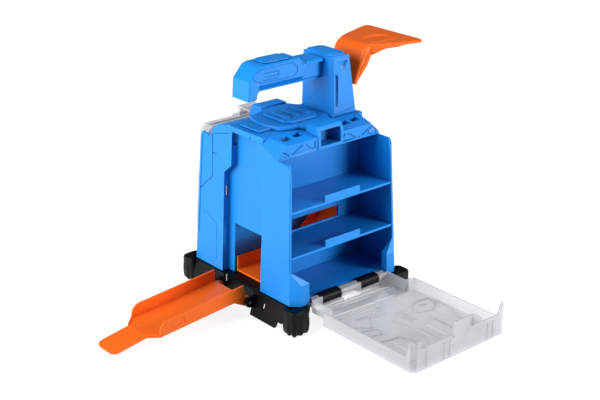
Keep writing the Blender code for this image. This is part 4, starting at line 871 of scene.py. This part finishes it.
# exit ramp: a trough with two walls that curve down at the end, a round-tipped tongue, rails below,
# two lugs and a plain oblong recess on one wall; drawn level about its pin and then tilted.
# Lengths run away from the pin, heights up from it.
ramp = {
    "axis": (-68.0, 0.0, 14.0), "tilt": 5.0, "edge": 0.45,
    "low": 3.5, "top": 5.3, "wallTop": 15.3, "half": 20.5, "skin": 1.8, "near": 2.5,
    "curveFrom": 76.5, "curveTo": 85.5, "curveSteps": 12, "rim": 6.3,
    "end": (94.0, 12.8, 5.8),
    "tongueHalf": 12.6, "tongueFrom": 86.0, "tongueRoot": 2.0, "tongueLong": 38.3,
    "tongueDrop": 4.5, "tipRadius": 6.5, "tipSteps": 9,
    "tongueLevels": [(0.0, 0.4), (0.4, 0.0), (1.5, 0.0), (1.9, 0.4)],
    "rail": (5.0, 7.0), "railLow": 2.1, "railFrom": 12.0, "railTo": 73.0, "railInto": 0.5,
    "lug": (16.5, 20.3), "lugRadius": 4.2, "lugArc": (60, -120, 16),
    "lugArm": [(-14.0, 3.7), (-2.5, 4.5)],
    "bore": 1.75, "boreArc": (0, 345, 24), "boreY": (10, 30),
    "plate": [(-74.6, 7.4), (-74.6, 10.6), (-73.0, 12.2), (-63.6, 12.2), (-62.0, 10.6),
              (-62.0, 7.4)],
    "plateSize": (0.5, 0.3),
}


def rampTrough():
    # the wall's top falls by a quarter ellipse: z = rim + (top - rim) sqrt(1 - t^2)
    r = ramp
    long, fall = r["curveTo"] - r["curveFrom"], r["wallTop"] - r["rim"]
    stations = [(r["near"], r["half"], r["wallTop"])]
    stations += [(r["curveFrom"] + long * t, r["half"], r["rim"] + fall * float(np.sqrt(1 - t * t)))
                 for t in np.linspace(0, 1, r["curveSteps"])]
    rings = []
    for u, half, wall in stations + [r["end"]]:
        inner = half - r["skin"]
        section = [(-half, wall), (-half, r["low"]), (half, r["low"]), (half, wall), (inner, wall),
                   (inner, r["top"]), (-inner, r["top"]), (-inner, wall)]
        rings.append([(-u, y, z) for y, z in section])
    return skin(np.asarray(rings, float))


def rampTongue():
    # a strip with two round corners, lying on a face that drops away from the trough
    r = ramp
    slope = radians(r["tongueDrop"])
    face = ((-r["tongueFrom"], 0, r["low"]), (-cos(slope), 0, -sin(slope)), (0, -1, 0))
    u, v = r["tongueLong"] - r["tipRadius"], r["tongueHalf"] - r["tipRadius"]
    outline = [(-r["tongueRoot"], -r["tongueHalf"])]
    outline += arcPoints((u, -v), r["tipRadius"], -90, 0, r["tipSteps"]).tolist()
    outline += arcPoints((u, v), r["tipRadius"], 0, 90, r["tipSteps"]).tolist()
    outline += [(-r["tongueRoot"], r["tongueHalf"])]
    return plateau(face, outline, r["tongueLevels"])


def rampPiece(node):
    # everything is drawn about the pin, turned about y by the tilt and moved to the pin's place
    r = ramp
    works = [rampTrough(), rampTongue()]
    railTop = r["low"] + r["railInto"]
    rail = [(-r["railTo"], r["railLow"]), (-r["railFrom"], r["railLow"]),
            (-r["railFrom"], railTop), (-r["railTo"], railTop)]
    lug = arcPoints((0, 0), r["lugRadius"], *r["lugArc"]).tolist() + r["lugArm"]
    for side in (-1, 1):
        works.append(alongY(rail, *sorted(side * y for y in r["rail"])))
        works.append(alongY(lug, *sorted(side * y for y in r["lug"])))
    bore = arcPoints((0, 0), r["bore"], *r["boreArc"])
    cuts = [alongY(bore, *sorted(side * y for y in r["boreY"])) for side in (-1, 1)]
    cuts.append(pocket(((0, -r["half"], 0), (1, 0, 0), (0, 0, 1)), r["plate"], *r["plateSize"]))
    tilt = Matrix.Rotation(-radians(r["tilt"]), 3, "Y")
    for work in works + cuts:
        bmesh.ops.rotate(work, verts=work.verts, cent=(0, 0, 0), matrix=tilt)
        bmesh.ops.translate(work, verts=work.verts, vec=r["axis"])
    piece = objectOf(node + "_moulding", toFrame(joined(works)))
    roundEdges(piece, r["edge"])
    carve(piece, cuts)
    finishPiece(piece, node)


# doors: the node's tray with gaps round the knuckles, a raised circuit of ribs, bars and plates on
# its floor, upright ribs outside and a frame round the latch; drawn on the open front door.
# A rib is (width, height), a plate (height, chamfer).
door = {
    "floorZ": 16.4, "axisY": 66.0, "axisZ": 22.0, "floorUnderAxis": 5.6,
    "gapX": (10.3, 31.7), "gapY": (-74.0, -64.0), "gapZ": (19.3, 34.0),
    "ribs": [
        [(-38.0, -76.0), (-26.0, -74.6), (27.0, -77.4), (38.0, -80.0)],
        [(-33.0, -79.4), (37.0, -83.6), (29.0, -93.0), (-40.0, -88.6), (-33.0, -79.4)],
        [(-43.0, -92.0), (-31.7, -98.4), (-5.6, -98.0), (3.9, -101.3), (0.5, -105.3),
         (-9.0, -103.2)],
        [(-35.0, -103.0), (-38.8, -111.8), (-26.2, -122.8), (-21.3, -115.6), (-17.3, -110.9),
         (-0.4, -111.5)],
        [(-46.6, -117.7), (-25.4, -126.5), (-24.4, -129.8), (-27.6, -134.6), (-44.9, -129.3),
         (-46.6, -117.7)],
        [(33.6, -113.0), (45.2, -114.6), (42.3, -124.5), (32.3, -131.5), (19.3, -127.0),
         (22.6, -117.0), (33.6, -113.0)],
        [(-5.4, -124.0), (-5.4, -136.0), (-0.3, -153.5), (-0.3, -170.0)],
        [(23.4, -139.0), (22.2, -163.4), (30.0, -172.0)],
        [(46.8, -121.0), (47.2, -138.0), (40.0, -146.0), (40.0, -168.0)],
        [(-36.0, -143.0), (-20.0, -147.0), (-16.0, -155.0), (-18.0, -172.0)],
        [(-44.0, -150.0), (-44.0, -176.0), (-30.0, -182.0), (10.0, -182.0)],
    ],
    "bars": [
        [(-28.0, -82.6), (16.0, -85.4)], [(-25.0, -86.0), (8.0, -87.6)],
        [(-27.0, -105.6), (-8.0, -107.6)], [(6.0, -117.0), (6.0, -134.0)],
        [(10.6, -117.0), (10.6, -134.0)], [(30.0, -119.0), (36.0, -121.0)],
    ],
    "plates": [
        [(-37.0, -79.0), (37.0, -83.0), (29.0, -93.0), (-39.0, -89.0)],
        [(-35.0, -103.0), (-38.8, -111.8), (-26.2, -122.8), (-21.3, -115.6), (-17.3, -110.9),
         (-14.0, -104.0)],
        [(-46.6, -117.7), (-25.4, -126.5), (-24.4, -129.8), (-27.6, -134.6), (-44.9, -129.3)],
        [(33.6, -113.0), (45.2, -114.6), (42.3, -124.5), (32.3, -131.5), (19.3, -127.0),
         (22.6, -117.0)],
        [(-30.0, -147.0), (-12.0, -142.0), (-6.0, -160.0), (-16.0, -176.0), (-32.0, -172.0)],
        [(10.0, -146.0), (34.0, -142.0), (40.0, -164.0), (26.0, -174.0), (10.0, -168.0)],
    ],
    "ribSize": (1.5, 0.9), "barSize": (2.2, 0.7), "plateSize": (0.7, 0.4),
    "frontY": -191.0, "frontRibs": (-37.0, -18.0, -12.0, 30.0, 36.0), "frontRibTop": 30.0,
    "frontRibSize": (2.4, 0.35),
    "tab": [(2.0, -180.0), (24.0, -180.0), (24.0, -190.0), (21.6, -190.0), (21.6, -182.2),
            (4.4, -182.2), (4.4, -190.0), (2.0, -190.0)],
    "tabLevels": [(22.0, 0.0), (35.6, 0.0), (36.0, 0.4)],
}


def ontoRearDoor(path):
    # the open door's pattern turned up onto the closed one: x to -x, and z = axis z - axis y - y
    return [(-x, door["axisZ"] - door["axisY"] - y) for x, y in path]


def frontDoorGaps():
    # upright blocks that free the knuckles from the tray's near wall
    (y0, y1), (z0, z1) = door["gapY"], door["gapZ"]
    gaps = []
    for side in (-1, 1):
        x0, x1 = sorted(side * x for x in door["gapX"])
        outline = [(x0, y0), (x1, y0), (x1, y1), (x0, y1)]
        gaps.append(plateau(level(0), outline, [(z0, 0.0), (z1, 0.0)]))
    return gaps


def doorPiece(node):
    # plates are joined to the floor, and the ribs, bars and frame are rooted in it
    piece = roundedCopy(node)
    raised = []
    if node == "front_door":
        face, turn = level(door["floorZ"]), list
        carve(piece, frontDoorGaps())
        raised.append(plateau(level(0), door["tab"], door["tabLevels"]))
        outside = ((0, door["frontY"], 0), (1, 0, 0), (0, 0, 1))
        raised += [ridge(outside, [(x, door["floorZ"]), (x, door["frontRibTop"])],
                         *door["frontRibSize"]) for x in door["frontRibs"]]
    else:
        face = ((0, door["axisY"] + door["floorUnderAxis"], 0), (1, 0, 0), (0, 0, 1))
        turn = ontoRearDoor
    carve(piece, [pad(face, turn(path), *door["plateSize"]) for path in door["plates"]], "UNION")
    raised += [ridge(face, turn(path), *door["ribSize"]) for path in door["ribs"]]
    raised += [ridge(face, turn(path), *door["barSize"]) for path in door["bars"]]
    addSkins(piece, raised)
    finishPiece(piece, node)


# feet: bulky columns with upright ridges that end in claws, each with an arm under the tray; a
# level is (height, share of the full size), and the arm's are (height, inset)
foot = {
    "centre": (56.0, 67.2), "half": (9.6, 8.0), "power": 3.6, "steps": 120,
    "ridges": 8, "ridge": 0.05, "ridgeSharp": 0.5, "fadeHeight": 23, "claw": 1.1, "clawHeight": 6,
    "levels": [(0.0, 0.74), (0.6, 0.83), (2.0, 0.92), (4.5, 0.97), (8.0, 1.0), (13.0, 1.0),
               (14.2, 0.97), (20.6, 0.98), (21.6, 0.92)],
    "arm": [(44.0, 58.0), (61.0, 58.0), (61.0, 66.0), (44.0, 66.0)],
    "armLevels": [(6.0, 0.0), (21.0, 0.0), (21.6, 0.5)],
}


def footPiece(node):
    # r = (|cos t|^n + |sin t|^n)^(-1/n) round each level, times 1 + a ridge wave that fades upwards
    f = foot
    sx = 1 if "right" in node else -1
    sy = 1 if node.startswith("rear") else -1
    t = np.linspace(0, 2 * np.pi, f["steps"] + 1)[:-1]
    power = f["power"]
    shape = (np.abs(np.cos(t)) ** power + np.abs(np.sin(t)) ** power) ** (-1 / power)
    wave = np.cos(f["ridges"] * t)
    ridges = np.abs(wave) ** f["ridgeSharp"] * np.sign(wave)
    rings = []
    for z, scale in f["levels"]:
        r = shape * scale * (1 + f["ridge"] * ridges * (1 - z / f["fadeHeight"]))
        lift = f["claw"] * (0.5 - 0.5 * wave) * (1 - smooth(z, 0, f["clawHeight"]))
        rings.append(np.column_stack([sx * (f["centre"][0] + f["half"][0] * r * np.cos(t)),
                                      sy * (f["centre"][1] + f["half"][1] * r * np.sin(t)),
                                      z + lift]))
    arm = [(sx * x, sy * y) for x, y in f["arm"]]
    ownPiece(node, [skin(np.stack(rings)), plateau(level(0), arm, f["armLevels"])])


makers = {
    "left_panel": panelPiece, "right_panel": panelPiece, "roof": roofPiece,
    "tower_shell": towerPiece, "tower_cap": capPiece, "handle_arm": handlePiece,
    "grip_pad": gripPadPiece, "entry_chute": chutePiece, "exit_ramp": rampPiece,
    "front_door": doorPiece, "rear_door": doorPiece,
}
makers.update({node: knucklePiece for node in nodes if "knuckle" in node})
makers.update({node: footPiece for node in nodes if "foot" in node})
for node in sorted(makers):
    makers[node](node)
    print("carved:", node)
for node in sorted(set(nodes) - set(makers)):
    moulding(node)
print("dressed:", len(nodes), "nodes")
